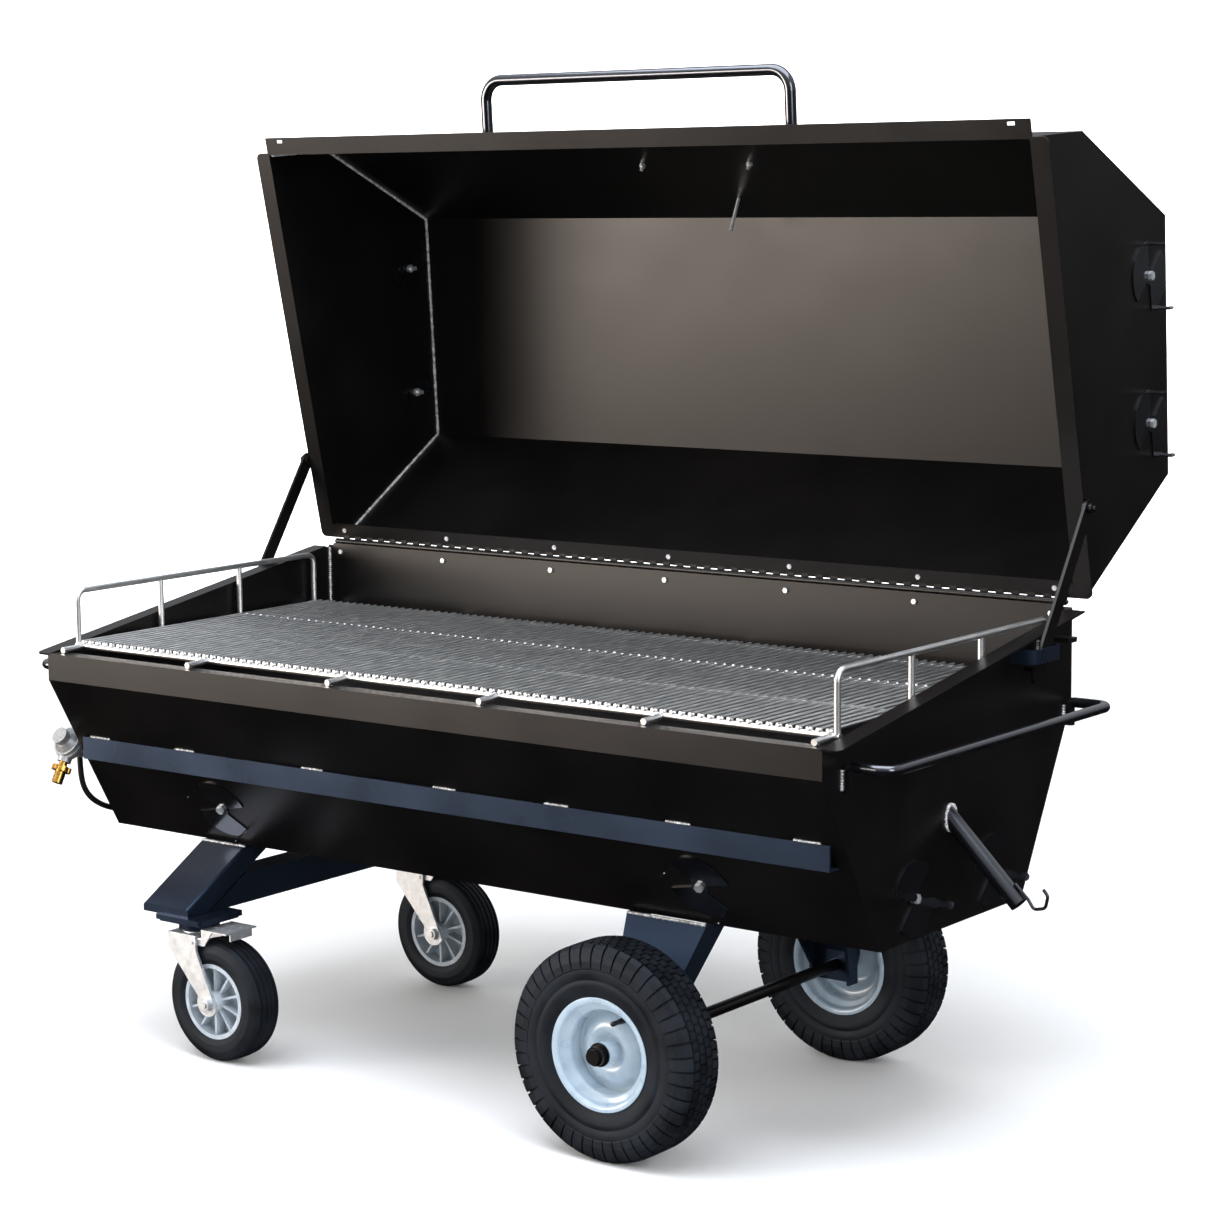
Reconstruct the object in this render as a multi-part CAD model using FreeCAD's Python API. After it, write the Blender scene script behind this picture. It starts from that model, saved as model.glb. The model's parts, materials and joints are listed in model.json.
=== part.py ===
"""Hooded gas barbecue trough on a wheeled cart: a long folded-steel trough, a hinged hood, a rod
grate, two pneumatic wheels on one axle and two braked swivel casters.

Millimetres, +Z up. X runs along the trough, -Y is the cook's side, the hood hinges along +Y.
The hood is drawn shut and then swung open about its hinge, because the part rests with it open.
Everything is modelled about the middle of the trough at ground level and moved as a whole at the
end, so that the origin is the middle of the footprint on the ground.
"""
import FreeCAD, Part
import math
import os

V = FreeCAD.Vector
X_AXIS = V(1, 0, 0)
Y_AXIS = V(0, 1, 0)
Z_AXIS = V(0, 0, 1)

# ---------------------------------------------------------------- trough and hood sheet
BODY_LENGTH = 1540.0         # outside faces of the end panels
BODY_DEPTH = 716.0           # outside faces of the front and rear walls
BASE_DEPTH = 410.0           # flat floor of the trough
GROUND_CLEARANCE = 336.0     # ground to the trough floor
FRONT_BEND_RISE = 273.0      # floor to the bend in the front wall
REAR_BEND_RISE = 284.0       # floor to the bend in the rear wall
FRONT_RIM_RISE = 318.0       # floor to the front rim
REAR_RIM_RISE = 431.0        # floor to the rear rim
SHEET = 3.0
FRONT_LIP = 28.0             # inward lip along the front rim
END_FLANGE = 28.0            # outward flange on every end panel
FLANGE_CORNER = 11.0
TROUGH_FLANGE_SHORT = 12.0   # how far the trough flange stops before the rear wall
RIM_GAP = 13.0               # between the two rims when the hood is shut
HOOD_BEND_RISE = 489.0       # trough floor to the hood's lower bends, hood shut
HOOD_TOP_RISE = 763.0        # trough floor to the hood's roof, hood shut
HOOD_ROOF_DEPTH = 418.0
HOOD_FRONT_FLANGE = 28.0
HOOD_REAR_LIP = 24.0
HOOD_OPEN_DEG = 86.5
SLOT_LENGTH = 14.0           # slot near each end of the hood's front flange
SLOT_WIDTH = 5.0
SLOT_INSET = 33.0

# ---------------------------------------------------------------- hinge
HINGE_SETBACK = 5.5          # hinge axis behind the rear wall
HINGE_END_GAP = 12.0         # bare wall at each end of the hinge
HINGE_LEAF = 2.5
HINGE_LEAF_DEPTH = 25.0
HINGE_PIN_R = 3.0
HINGE_CLEARANCE = 0.05
KNUCKLE_PITCH = 28.0         # one knuckle of each leaf
KNUCKLE_GAP = 0.4
HINGE_BOLTS = 7
HINGE_BOLT_R = 3.0
HINGE_LIP_GAP = 0.15         # between the upper leaf and the hood's lip

# ---------------------------------------------------------------- butterfly vents
VENT_R = 56.0
VENT_PLATE = 2.0
VENT_LOBE_DEG = 125.0
VENT_WINDOW_DEG = 52.0
VENT_WINDOW_R = VENT_R - 6.0
VENT_WINDOW_HUB_R = 18.0
VENT_HUB_R = 14.0
VENT_STAND_OFF = 0.4
VENT_BOLT_R = 4.0
VENT_TAB_WIDTH = 14.0
VENT_TAB_REACH = 36.0
FRONT_VENT_X = 485.0
FRONT_VENT_RISE = VENT_R + 10.0     # trough floor to the vent's centre
END_VENT_Y = 112.0
END_VENT_RISE = VENT_R + 5.0
HOOD_VENT_Y = 118.0
HOOD_VENT_DROP = VENT_R + 6.0       # roof to the vent's centre

# ---------------------------------------------------------------- hood fittings
HANDLE_R = 9.5
HOOD_HANDLE_SPAN = 618.0
HOOD_HANDLE_REACH = 112.0
HOOD_HANDLE_BEND = 34.0
HOOD_HANDLE_RISE = 60.0      # above the shut hood's front rim
DIAL_R = 38.0
DIAL_THICK = 16.0
STEM_R = 3.0
STEM_LENGTH = 62.0
DIAL_HEIGHT_SHARE = 0.74     # up the hood's front slope
BADGE_LENGTH = 244.0
BADGE_HEIGHT = 84.0
BADGE_THICK = 1.5
BADGE_BOLT_SPACING = 221.0
BADGE_HEIGHT_SHARE = 0.28

# ---------------------------------------------------------------- hood stays
STAY_WIDTH = 25.0
STAY_THICK = 5.0
STAY_LUG_THICK = 3.0
STAY_FLANGE_GAP = 0.5        # between the stay's lug and the stay
STAY_PIVOT_Y = BODY_DEPTH / 2 - 18.0     # pivot with the hood open
STAY_PIVOT_Z = GROUND_CLEARANCE + REAR_RIM_RISE + 158.0
STAY_PIVOT_R = 5.0
STAY_TAIL = 44.0             # stay below the guide's middle, hood open
GUIDE_Y = BODY_DEPTH / 2 - 152.0
GUIDE_LENGTH = 86.0
GUIDE_DROP = 6.0             # under the trough's flange
GUIDE_WIDTH = 22.0
GUIDE_THICK = 4.0
LUG_Y = BODY_DEPTH / 2 - 44.0
LUG_SIZE = 24.0
LUG_THICK = 7.0
LUG_DROP = 40.0

# ---------------------------------------------------------------- end handles and front rail
END_HANDLE_R = 8.0
END_HANDLE_SPAN = BODY_DEPTH - 76.0
END_HANDLE_SHIFT = 18.0
END_HANDLE_REACH = 76.0
END_HANDLE_BEND = 20.0
END_HANDLE_RISE = 286.0      # floor to the bar
END_HANDLE_FOOT = 36.0
RAIL_LENGTH = BODY_LENGTH - 44.0
RAIL_LEG = 38.0
RAIL_THICK = 4.0
RAIL_TOP_RISE = FRONT_VENT_RISE + VENT_R + 48.0

# ---------------------------------------------------------------- grate
GRATE_LENGTH = BODY_LENGTH - 2 * SHEET - 10.0
GRATE_DEPTH = BODY_DEPTH - 120.0
GRATE_TOP_Z = GROUND_CLEARANCE + FRONT_RIM_RISE + 18.0
ROD_R = 3.0
ROD_PITCH = 16.7
BAR_R = 5.0
CROSS_BARS = 4
LEG_PITCH = 304.8
SIDE_RAIL_RISE = 88.0
SIDE_RAIL_CORNER = 16.0
WELD_SINK = 0.6              # how far welded rods sink into each other
LEDGE_REACH = 30.0
GRATE_SIT = 0.3              # between the grate's feet and what they stand on

# ---------------------------------------------------------------- drip pan, burner, drain
PAN_SHEET = 1.5
PAN_FALL = 34.0
PAN_VALLEY = 46.0
PAN_EDGE_GAP = 52.0          # beside the pan, for the heat to rise
BEARER_THICK = 4.0
BEARER_DROP = 22.0
DRAIN_R = 13.5
DRAIN_BORE_R = 11.0
DRAIN_REACH = 115.0
DRAIN_Y = -10.0
DRAIN_RISE = 163.0
HOOK_WIRE_R = 2.5
BURNER_R = 17.0
BURNER_BORE_R = 14.5
BURNER_SPREAD = 118.0
BURNER_RISE = 84.0
BURNER_LENGTH = BODY_LENGTH - 220.0
BURNER_PORT_R = 2.2
BURNER_PORT_PITCH = 60.0

# ---------------------------------------------------------------- chassis
CHASSIS_Y = -20.0            # middle of the running gear
CASTER_TRACK = 580.0
CASTER_SWIVEL_X = -478.0
CASTER_LEG_X = -511.0
CASTER_LEG_WIDTH = 102.0
CASTER_LEG_THICK = 38.0
CASTER_LEG_WALL = 4.0
LEG_SPLAY = 122.0            # how far a caster leg leans out, on average
LEG_TOP_INSET = 8.0
LEG_TOE = 14.0
PLATE_THICK = 8.0
PLATE_SIZE = 104.0
CROSS_TUBE = 51.0
AXLE_X = 403.0
WHEEL_TRACK = 652.0
AXLE_R = 9.5
AXLE_LEG_TOP = 147.0
AXLE_LEG_FOOT = 76.0
AXLE_LEG_DEPTH = 57.0
AXLE_LEG_FOOT_DEPTH = 26.0
AXLE_LEG_KNEE = 24.0         # above the axle, where the leg turns plumb
AXLE_LEG_BELOW = 27.0        # below the axle
AXLE_COLLAR = 5.0
WHEEL_SIDE_GAP = 0.5
AXLE_LEG_SHEET = 5.0
FIT = 0.05                   # radial running clearance

# ---------------------------------------------------------------- pneumatic wheels
TYRE_R = 165.0
TYRE_WIDTH = 90.0
RIM_R = 86.0
RIM_HALF = 41.0
RIM_SHEET = 2.5
RIM_BEAD_R = 79.0
RIM_WELL_R = 66.0
HUB_R = 17.0
HUB_LENGTH = 72.0

# ---------------------------------------------------------------- casters
CASTER_R = 101.6
CASTER_TYRE_WIDTH = 64.0
CASTER_RIM_R = 63.0
CASTER_TRAIL = 54.0
CASTER_HUB_R = 17.0
CASTER_AXLE_R = 6.0
CASTER_SPOKES = 10
FORK_PLATE = 5.0
FORK_SIDE_GAP = 5.5
FORK_CROWN_WIDTH = 62.0
FORK_FOOT_R = 22.0
CASTER_TOP_GAP = 3.8         # tyre to the fork's crown
FORK_TOP_GAP = 20.0          # mounting plate to the fork's crown
RACE_R = 34.0
RACE_GAP = 0.4
PEDAL_LENGTH = 56.0
PEDAL_WIDTH = 73.0
PEDAL_THICK = 2.5
PEDAL_PIVOT_R = 3.0
PEDAL_SHOE = 12.0
PEDAL_HOLE_R = 4.0

# ---------------------------------------------------------------- gas parts
HOSE_R = 5.0
GAS_X = 32.0                 # hose and regulator out from the left end panel
REGULATOR_Y = -280.0
REGULATOR_Z = 484.0
REGULATOR_R = 27.0
INLET_Y = 122.0
INLET_Z = 500.0
# the hose hangs in one loop between the regulator and the inlet: (out from panel, y, z)
HOSE_ROUTE = [
    (36.0, -258.0, 458.0), (37.0, -257.0, 420.0), (36.0, -243.0, 388.0), (35.0, -212.0, 365.0),
    (34.0, -168.0, 350.0), (33.0, -116.0, 342.0), (32.0, -62.0, 341.0), (32.0, -8.0, 350.0),
    (32.0, 42.0, 368.0), (32.0, 84.0, 398.0), (32.0, 114.0, 436.0), (32.0, 122.0, 480.0)]

# ---------------------------------------------------------------- sizes that follow
END_X = BODY_LENGTH / 2
WALL_Y = BODY_DEPTH / 2
FLOOR_Z = GROUND_CLEARANCE
FRONT_BEND_Z = FLOOR_Z + FRONT_BEND_RISE
REAR_BEND_Z = FLOOR_Z + REAR_BEND_RISE
FRONT_RIM_Z = FLOOR_Z + FRONT_RIM_RISE
REAR_RIM_Z = FLOOR_Z + REAR_RIM_RISE
RIM_SLOPE = math.atan2(REAR_RIM_Z - FRONT_RIM_Z, BODY_DEPTH)
HOOD_BEND_Z = FLOOR_Z + HOOD_BEND_RISE
HOOD_TOP_Z = FLOOR_Z + HOOD_TOP_RISE
HINGE_Y = WALL_Y + HINGE_SETBACK
HINGE_Z = REAR_RIM_Z + RIM_GAP / 2
HINGE_BARREL_R = RIM_GAP / 2 - max(1.0, 0.13 + (SHEET + HINGE_LEAF) * math.tan(RIM_SLOPE))
STAY_X = END_X + END_FLANGE + STAY_LUG_THICK + STAY_FLANGE_GAP
FLOOR_HALF = BASE_DEPTH / 2
CASTER_HEIGHT = 2 * CASTER_R + CASTER_TOP_GAP + FORK_PLATE + FORK_TOP_GAP     # ground to the mounting plate

nodes = {}


# ================================================================ helpers

def keep(name, *solids):
    """Files solids under a node's name."""
    nodes[name] = list(solids)


def rim_z(y):
    """Height of the trough's rim line at a depth."""
    return FRONT_RIM_Z + (y + WALL_Y) * math.tan(RIM_SLOPE)


def prism_x(points, x0, x1):
    """Extrudes a (y, z) outline from x0 to x1."""
    corners = [V(x0, y, z) for y, z in points]
    face = Part.Face(Part.makePolygon(corners + corners[:1]))
    return face.extrude(V(x1 - x0, 0, 0))


def prism_y(points, y0, y1):
    """Extrudes an (x, z) outline from y0 to y1."""
    corners = [V(x, y0, z) for x, z in points]
    face = Part.Face(Part.makePolygon(corners + corners[:1]))
    return face.extrude(V(0, y1 - y0, 0))


def offset_line(points, distance):
    """The same open line moved to its left by a distance, with mitred corners."""
    normals = []
    for (a, b), (c, d) in zip(points, points[1:]):
        length = math.hypot(c - a, d - b)
        normals.append((-(d - b) / length, (c - a) / length))
    moved = []
    for i, (a, b) in enumerate(points):
        before = normals[max(i - 1, 0)]
        after = normals[min(i, len(normals) - 1)]
        share = 1 + before[0] * after[0] + before[1] * after[1]
        moved.append((a + distance * (before[0] + after[0]) / share,
                      b + distance * (before[1] + after[1]) / share))
    return moved


def bent_sheet(line, thickness, x0, x1):
    """A folded sheet along X: the outer line and the same line moved in by the thickness."""
    return prism_x(line + offset_line(line, thickness)[::-1], x0, x1)


def cylinder(start, end, radius):
    """A round bar between two points."""
    along = end - start
    return Part.makeCylinder(radius, along.Length, start, along)


def path_wire(points, radii):
    """Straight runs through the points with a tangent arc at each corner."""
    edges = []
    last = points[0]
    for before, corner, after, radius in zip(points, points[1:], points[2:], radii):
        into = (corner - before).normalize()
        out = (after - corner).normalize()
        half = into.getAngle(out) / 2
        cut = radius * math.tan(half)
        start = corner - into * cut
        end = corner + out * cut
        inward = (out - into).normalize()
        middle = corner + inward * (radius / math.cos(half) - radius)
        if (start - last).Length > 1e-6:
            edges.append(Part.LineSegment(last, start).toShape())
        edges.append(Part.Arc(start, middle, end).toShape())
        last = end
    edges.append(Part.LineSegment(last, points[-1]).toShape())
    return Part.Wire(edges)


def bent_bar(points, radius, bend):
    """A round bar along a bent path."""
    radii = [bend] * (len(points) - 2)
    wire = path_wire(points, radii)
    circle = Part.Circle(points[0], points[1] - points[0], radius).toShape()
    return wire.makePipeShell([Part.Wire(circle)], True, False)


def turned(profile, centre):
    """Turns an (offset along Y, radius) outline about a Y axis through a centre."""
    corners = [V(centre.x, centre.y + a, centre.z + r) for a, r in profile]
    face = Part.Face(Part.makePolygon(corners + corners[:1]))
    return face.revolve(centre, Y_AXIS, 360)


def hood_open(shape):
    """Swings a shape drawn with the hood shut to where it rests, hood open."""
    moved = shape.copy()
    moved.rotate(V(0, HINGE_Y, HINGE_Z), X_AXIS, -HOOD_OPEN_DEG)
    return moved


def hood_shut_point(y, z):
    """Where a point of the open hood lies when the hood is shut."""
    turn = math.radians(HOOD_OPEN_DEG)
    dy = y - HINGE_Y
    dz = z - HINGE_Z
    return (HINGE_Y + dy * math.cos(turn) - dz * math.sin(turn),
            HINGE_Z + dy * math.sin(turn) + dz * math.cos(turn))


def placed(shape, at, x_axis, y_axis, z_axis):
    """Moves a shape drawn about the origin to a point with given axes."""
    moved = shape.copy()
    rotation = FreeCAD.Rotation(x_axis, y_axis, z_axis, "ZXY")
    moved.Placement = FreeCAD.Placement(at, rotation).multiply(moved.Placement)
    return moved


def hex_bolt(at, direction, radius, length, across, head):
    """A hexagon-head bolt whose head seats at a point and whose shank runs back."""
    unit = V(direction).normalize()
    corners = [V(across / 2 * math.cos(math.radians(60 * k)), across / 2 * math.sin(math.radians(60 * k)), 0)
               for k in range(7)]
    top = Part.Face(Part.makePolygon(corners)).extrude(V(0, 0, head))
    shank = Part.makeCylinder(radius, length + 0.5, V(0, 0, -length), Z_AXIS)
    bolt = top.fuse(shank)
    rotation = FreeCAD.Rotation(Z_AXIS, unit)
    bolt.Placement = FreeCAD.Placement(at, rotation)
    return bolt


# ================================================================ vents

def vent_plate(phase, tab_first):
    """A two-lobed butterfly with a bent finger tab on one edge of each lobe, facing +Z."""
    hub = Part.makeCylinder(VENT_HUB_R, VENT_PLATE, V(0, 0, VENT_STAND_OFF), Z_AXIS)
    plate = hub
    for turn in (0.0, 180.0):
        lobe = Part.makeCylinder(VENT_R, VENT_PLATE, V(0, 0, VENT_STAND_OFF), Z_AXIS, VENT_LOBE_DEG)
        lobe.rotate(V(0, 0, 0), Z_AXIS, phase + turn)
        plate = plate.fuse(lobe)
    half_tab = math.degrees(VENT_TAB_WIDTH / 2 / VENT_R) + 1.0
    edge = half_tab if tab_first else VENT_LOBE_DEG - half_tab
    for turn in (0.0, 180.0):
        tab = vent_tab()
        tab.rotate(V(0, 0, 0), Z_AXIS, phase + edge + turn)
        plate = plate.fuse(tab)
    bore = Part.makeCylinder(VENT_BOLT_R + FIT, 4 * VENT_PLATE, V(0, 0, -VENT_PLATE), Z_AXIS)
    return plate.removeSplitter().cut(bore)


def vent_tab():
    """A waisted strip bent up from the rim of a lobe, at +X."""
    low = VENT_STAND_OFF
    base = Part.makeBox(VENT_PLATE, VENT_TAB_WIDTH, VENT_TAB_REACH * 0.3,
                        V(VENT_R - VENT_PLATE - 1, -VENT_TAB_WIDTH / 2, low))
    waist = Part.makeBox(VENT_PLATE, VENT_TAB_WIDTH * 0.62, VENT_TAB_REACH * 0.8,
                         V(VENT_R - VENT_PLATE - 1, -VENT_TAB_WIDTH * 0.31, low))
    tip = Part.makeCylinder(VENT_TAB_WIDTH * 0.46, VENT_PLATE,
                            V(VENT_R - VENT_PLATE - 1, 0, VENT_TAB_REACH - VENT_TAB_WIDTH * 0.46), X_AXIS)
    return base.fuse(waist).fuse(tip)


def vent_windows(phase):
    """The two sector windows under the lobes, as a cutter through the panel."""
    cutter = None
    start = phase + (VENT_LOBE_DEG - VENT_WINDOW_DEG) / 2
    for turn in (0.0, 180.0):
        outer = Part.makeCylinder(VENT_WINDOW_R, 4 * SHEET, V(0, 0, -2 * SHEET), Z_AXIS, VENT_WINDOW_DEG)
        inner = Part.makeCylinder(VENT_WINDOW_HUB_R, 4 * SHEET, V(0, 0, -2 * SHEET), Z_AXIS)
        window = outer.cut(inner)
        window.rotate(V(0, 0, 0), Z_AXIS, start + turn)
        cutter = window if cutter is None else cutter.fuse(window)
    hole = Part.makeCylinder(VENT_BOLT_R, 4 * SHEET, V(0, 0, -2 * SHEET), Z_AXIS)
    return cutter.fuse(hole)


def vent_bolt():
    """The bolt that a butterfly turns on, with its nut inside the panel."""
    head_seat = VENT_STAND_OFF + VENT_PLATE + 0.4
    bolt = hex_bolt(V(0, 0, head_seat), Z_AXIS, VENT_BOLT_R - 0.02, 22.0, 15.0, 5.5)
    nut = Part.makeCylinder(7.5, 6.0, V(0, 0, -SHEET - 6.0), Z_AXIS)
    return bolt.fuse(nut)


def front_slope_axes():
    """Axes of the trough's slanted front wall: along it, up it, and out of it."""
    rise = FRONT_BEND_Z - FLOOR_Z
    run = WALL_Y - FLOOR_HALF
    length = math.hypot(rise, run)
    up = V(0, -run / length, rise / length)
    return X_AXIS, up, X_AXIS.cross(up)


def vent_sites():
    """Every vent: name, place, axes, phase, whether its tabs lead, and whether it is on the hood."""
    along, up, out = front_slope_axes()
    slope_y = -FLOOR_HALF - FRONT_VENT_RISE * (WALL_Y - FLOOR_HALF) / FRONT_BEND_RISE
    sites = []
    for side, word in ((-1, "left"), (1, "right")):
        at = V(side * FRONT_VENT_X, slope_y, FLOOR_Z + FRONT_VENT_RISE)
        sites.append(("front_vent_" + word, at, (along, up, out), 12.0, False, False))
    for side, word in ((-1, "front"), (1, "rear")):
        at = V(END_X, side * END_VENT_Y, FLOOR_Z + END_VENT_RISE)
        sites.append(("end_vent_" + word, at, (Y_AXIS, Z_AXIS, X_AXIS), 46.0, False, False))
    for end, word in ((-1, "left"), (1, "right")):
        axes = (Y_AXIS * end, Z_AXIS, X_AXIS * end)
        for side, place in ((-1, "upper"), (1, "lower")):
            at = V(end * END_X, side * HOOD_VENT_Y, HOOD_TOP_Z - HOOD_VENT_DROP)
            sites.append(("hood_vent_" + word + "_" + place, at, axes, 187.0, True, True))
    return sites


def cut_vents(panel, prefixes):
    """Cuts the windows of the vents whose names start with any of the prefixes."""
    for name, at, axes, phase, tab_first, on_hood in vent_sites():
        if name.startswith(prefixes):
            panel = panel.cut(placed(vent_windows(phase), at, *axes))
    return panel


# ================================================================ trough

def trough_line():
    """The wrap's outer line, from the front lip round to the rear rim."""
    return [(-WALL_Y + FRONT_LIP, FRONT_RIM_Z), (-WALL_Y, FRONT_RIM_Z), (-WALL_Y, FRONT_BEND_Z),
            (-FLOOR_HALF, FLOOR_Z), (FLOOR_HALF, FLOOR_Z), (WALL_Y, REAR_BEND_Z), (WALL_Y, REAR_RIM_Z)]


def trough_wrap():
    """Front lip, band and slope, floor, rear slope and rear band, folded from one sheet."""
    wrap = bent_sheet(trough_line(), SHEET, -END_X, END_X)
    return cut_bolts(cut_vents(wrap, ("front_vent",)), hinge_bolt_seats(False))


def cut_bolts(panel, seats):
    """Drills the hinge bolt holes."""
    holes = [cylinder(at - way * 12.0, at + way * 9.0, HINGE_BOLT_R) for at, way in seats]
    return panel.cut(Part.makeCompound(holes))


def rim_flange(end, gap, stop_y, round_rear):
    """An outward flange that lies along the rim line, raised by a gap at right angles."""
    length = (stop_y + WALL_Y) / math.cos(RIM_SLOPE)
    flange = Part.makeBox(END_FLANGE + SHEET, length, SHEET, V(END_X - SHEET, 0, 0))
    corners = [e for e in flange.Edges
               if abs(e.BoundBox.ZLength - SHEET) < 0.01 and e.BoundBox.XMax > END_X
               and (e.BoundBox.YMin < 1.0 or round_rear)]
    flange = flange.makeFillet(FLANGE_CORNER, corners)
    flange.rotate(V(0, 0, 0), X_AXIS, math.degrees(RIM_SLOPE))
    flange.translate(V(0, -WALL_Y, FRONT_RIM_Z + gap))
    return flange if end > 0 else flange.mirror(V(0, 0, 0), X_AXIS)


def trough_end(end, wrap):
    """An end panel inside the wrap, with its rim flange."""
    inner = offset_line(trough_line()[1:], SHEET)
    drop = SHEET / math.cos(RIM_SLOPE)
    outline = inner[1:-1] + [(WALL_Y - SHEET, rim_z(WALL_Y - SHEET) - drop)]
    outline = [(-WALL_Y + SHEET, rim_z(-WALL_Y + SHEET) - drop)] + outline
    panel = prism_x(outline, end * (END_X - SHEET), end * END_X)
    flange = rim_flange(end, -drop, WALL_Y - TROUGH_FLANGE_SHORT, False)
    panel = panel.fuse(flange).removeSplitter().cut(wrap)
    if end > 0:
        panel = cut_vents(panel, ("end_vent",))
        start, stop = drain_axis()
        panel = panel.cut(cylinder(start, stop, DRAIN_R + 0.3))
    else:
        seat = V(-END_X - SHEET, INLET_Y, INLET_Z)
        panel = panel.cut(cylinder(seat, seat + V(3 * SHEET, 0, 0), 8.3))
    return panel


def front_rail():
    """An angle welded to the slanted front wall, one leg hanging plumb, one going back to it."""
    top = FLOOR_Z + RAIL_TOP_RISE
    slope = (WALL_Y - FLOOR_HALF) / FRONT_BEND_RISE

    def wall_y(z):
        return -FLOOR_HALF - (z - FLOOR_Z) * slope

    face_y = wall_y(top) - RAIL_THICK
    low = top - RAIL_LEG
    outline = [(wall_y(top), top), (face_y, top), (face_y, low), (wall_y(low), low),
               (wall_y(low + RAIL_THICK), low + RAIL_THICK), (face_y + RAIL_THICK, low + RAIL_THICK),
               (face_y + RAIL_THICK, top - RAIL_THICK), (wall_y(top - RAIL_THICK), top - RAIL_THICK)]
    return prism_x(outline, -RAIL_LENGTH / 2, RAIL_LENGTH / 2)


def grate_ledge():
    """A small angle along the rear wall that the grate's rear feet stand on."""
    top = FRONT_RIM_Z
    back = WALL_Y - SHEET
    outline = [(back, top), (back - LEDGE_REACH, top), (back - LEDGE_REACH, top - SHEET),
               (back - SHEET, top - SHEET), (back - SHEET, top - LEDGE_REACH * 0.8), (back, top - LEDGE_REACH * 0.8)]
    inside = END_X - SHEET
    return prism_x(outline, -inside + 2.0, inside - 2.0)


def end_handle(end):
    """A round bar that stands off an end panel, its feet turned down and welded."""
    foot_x = end * (END_X + END_HANDLE_R)
    out_x = end * (END_X + END_HANDLE_REACH)
    z = FLOOR_Z + END_HANDLE_RISE
    y0 = END_HANDLE_SHIFT - END_HANDLE_SPAN / 2
    y1 = END_HANDLE_SHIFT + END_HANDLE_SPAN / 2
    points = [V(foot_x, y0, z - END_HANDLE_FOOT), V(foot_x, y0, z), V(out_x, y0, z), V(out_x, y1, z),
              V(foot_x, y1, z), V(foot_x, y1, z - END_HANDLE_FOOT)]
    wire = path_wire(points, [9.0, END_HANDLE_BEND, END_HANDLE_BEND, 9.0])
    circle = Part.Circle(points[0], Z_AXIS, END_HANDLE_R).toShape()
    return wire.makePipeShell([Part.Wire(circle)], True, False)


def stay_guide(end):
    """A strap bent into a loop beside the end panel, for a hood stay to slide in."""
    top = rim_z(GUIDE_Y - GUIDE_LENGTH / 2) - SHEET - GUIDE_DROP
    out = STAY_X + STAY_THICK + 3.0 + GUIDE_THICK
    y0 = GUIDE_Y - GUIDE_LENGTH / 2
    y1 = GUIDE_Y + GUIDE_LENGTH / 2
    block = Part.makeBox(out - END_X, GUIDE_LENGTH, GUIDE_WIDTH, V(END_X, y0, top - GUIDE_WIDTH))
    edges = [e for e in block.Edges if e.BoundBox.ZLength > GUIDE_WIDTH / 2 and e.BoundBox.XMin > END_X + 1]
    block = block.makeFillet(15.0, edges)
    hole = Part.makeBox(out - END_X - GUIDE_THICK + 1, GUIDE_LENGTH - 2 * GUIDE_THICK, 2 * GUIDE_WIDTH,
                        V(END_X - 1, y0 + GUIDE_THICK, top - 1.5 * GUIDE_WIDTH))
    edges = [e for e in hole.Edges if e.BoundBox.ZLength > GUIDE_WIDTH and e.BoundBox.XMin > END_X + 1]
    hole = hole.makeFillet(11.0, edges)
    strap = block.cut(hole)
    return strap if end > 0 else strap.mirror(V(0, 0, 0), X_AXIS)


def rear_lug(end):
    """A short flat lug on the end panel near the hinge."""
    z = rim_z(LUG_Y) - LUG_DROP
    lug = Part.makeBox(END_FLANGE, LUG_SIZE, LUG_THICK, V(END_X, LUG_Y - LUG_SIZE / 2, z))
    edges = [e for e in lug.Edges if e.BoundBox.ZLength > LUG_THICK / 2 and e.BoundBox.XMin > END_X + 1]
    lug = lug.makeFillet(6.0, edges)
    return lug if end > 0 else lug.mirror(V(0, 0, 0), X_AXIS)


# ================================================================ drip pan, drain and burner

def drain_axis():
    """The drain tube's axis: from just inside the right end panel, out and down at 45 degrees."""
    at = V(END_X, DRAIN_Y, FLOOR_Z + DRAIN_RISE)
    inside = V(-1, 0, 1) * (3.0 * SHEET)
    return at + inside, at + V(DRAIN_REACH, 0, -DRAIN_REACH)


def drain_tube():
    """An open steel tube welded through the right end panel."""
    start, stop = drain_axis()
    return cylinder(start, stop, DRAIN_R).cut(cylinder(start - (stop - start) * 0.1, stop + (stop - start) * 0.1,
                                                       DRAIN_BORE_R))


def drain_hook():
    """A wire hook on top of the drain tube's mouth, for a bucket's bail."""
    start, stop = drain_axis()
    down = (stop - start).normalize()
    up = V(down.z * -1, 0, down.x)
    top = DRAIN_R + HOOK_WIRE_R
    base = stop - down * 26.0 + up * top
    points = [base, base + down * 30.0 + up * 1.0, base + down * 46.0 - up * 2.0,
              base + down * 56.0 + up * 14.0, base + down * 46.0 + up * 30.0, base + down * 34.0 + up * 31.0]
    return bent_bar(points, HOOK_WIRE_R, 8.0)


def pan_line(y, x):
    """Height of the drip pan's upper face: a valley along X that falls towards the drain."""
    start, stop = drain_axis()
    low = start.z + DRAIN_R + 2.0
    share = (END_X - x) / BODY_LENGTH
    return low + PAN_FALL * share + PAN_VALLEY * abs(y - DRAIN_Y) / WALL_Y


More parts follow.
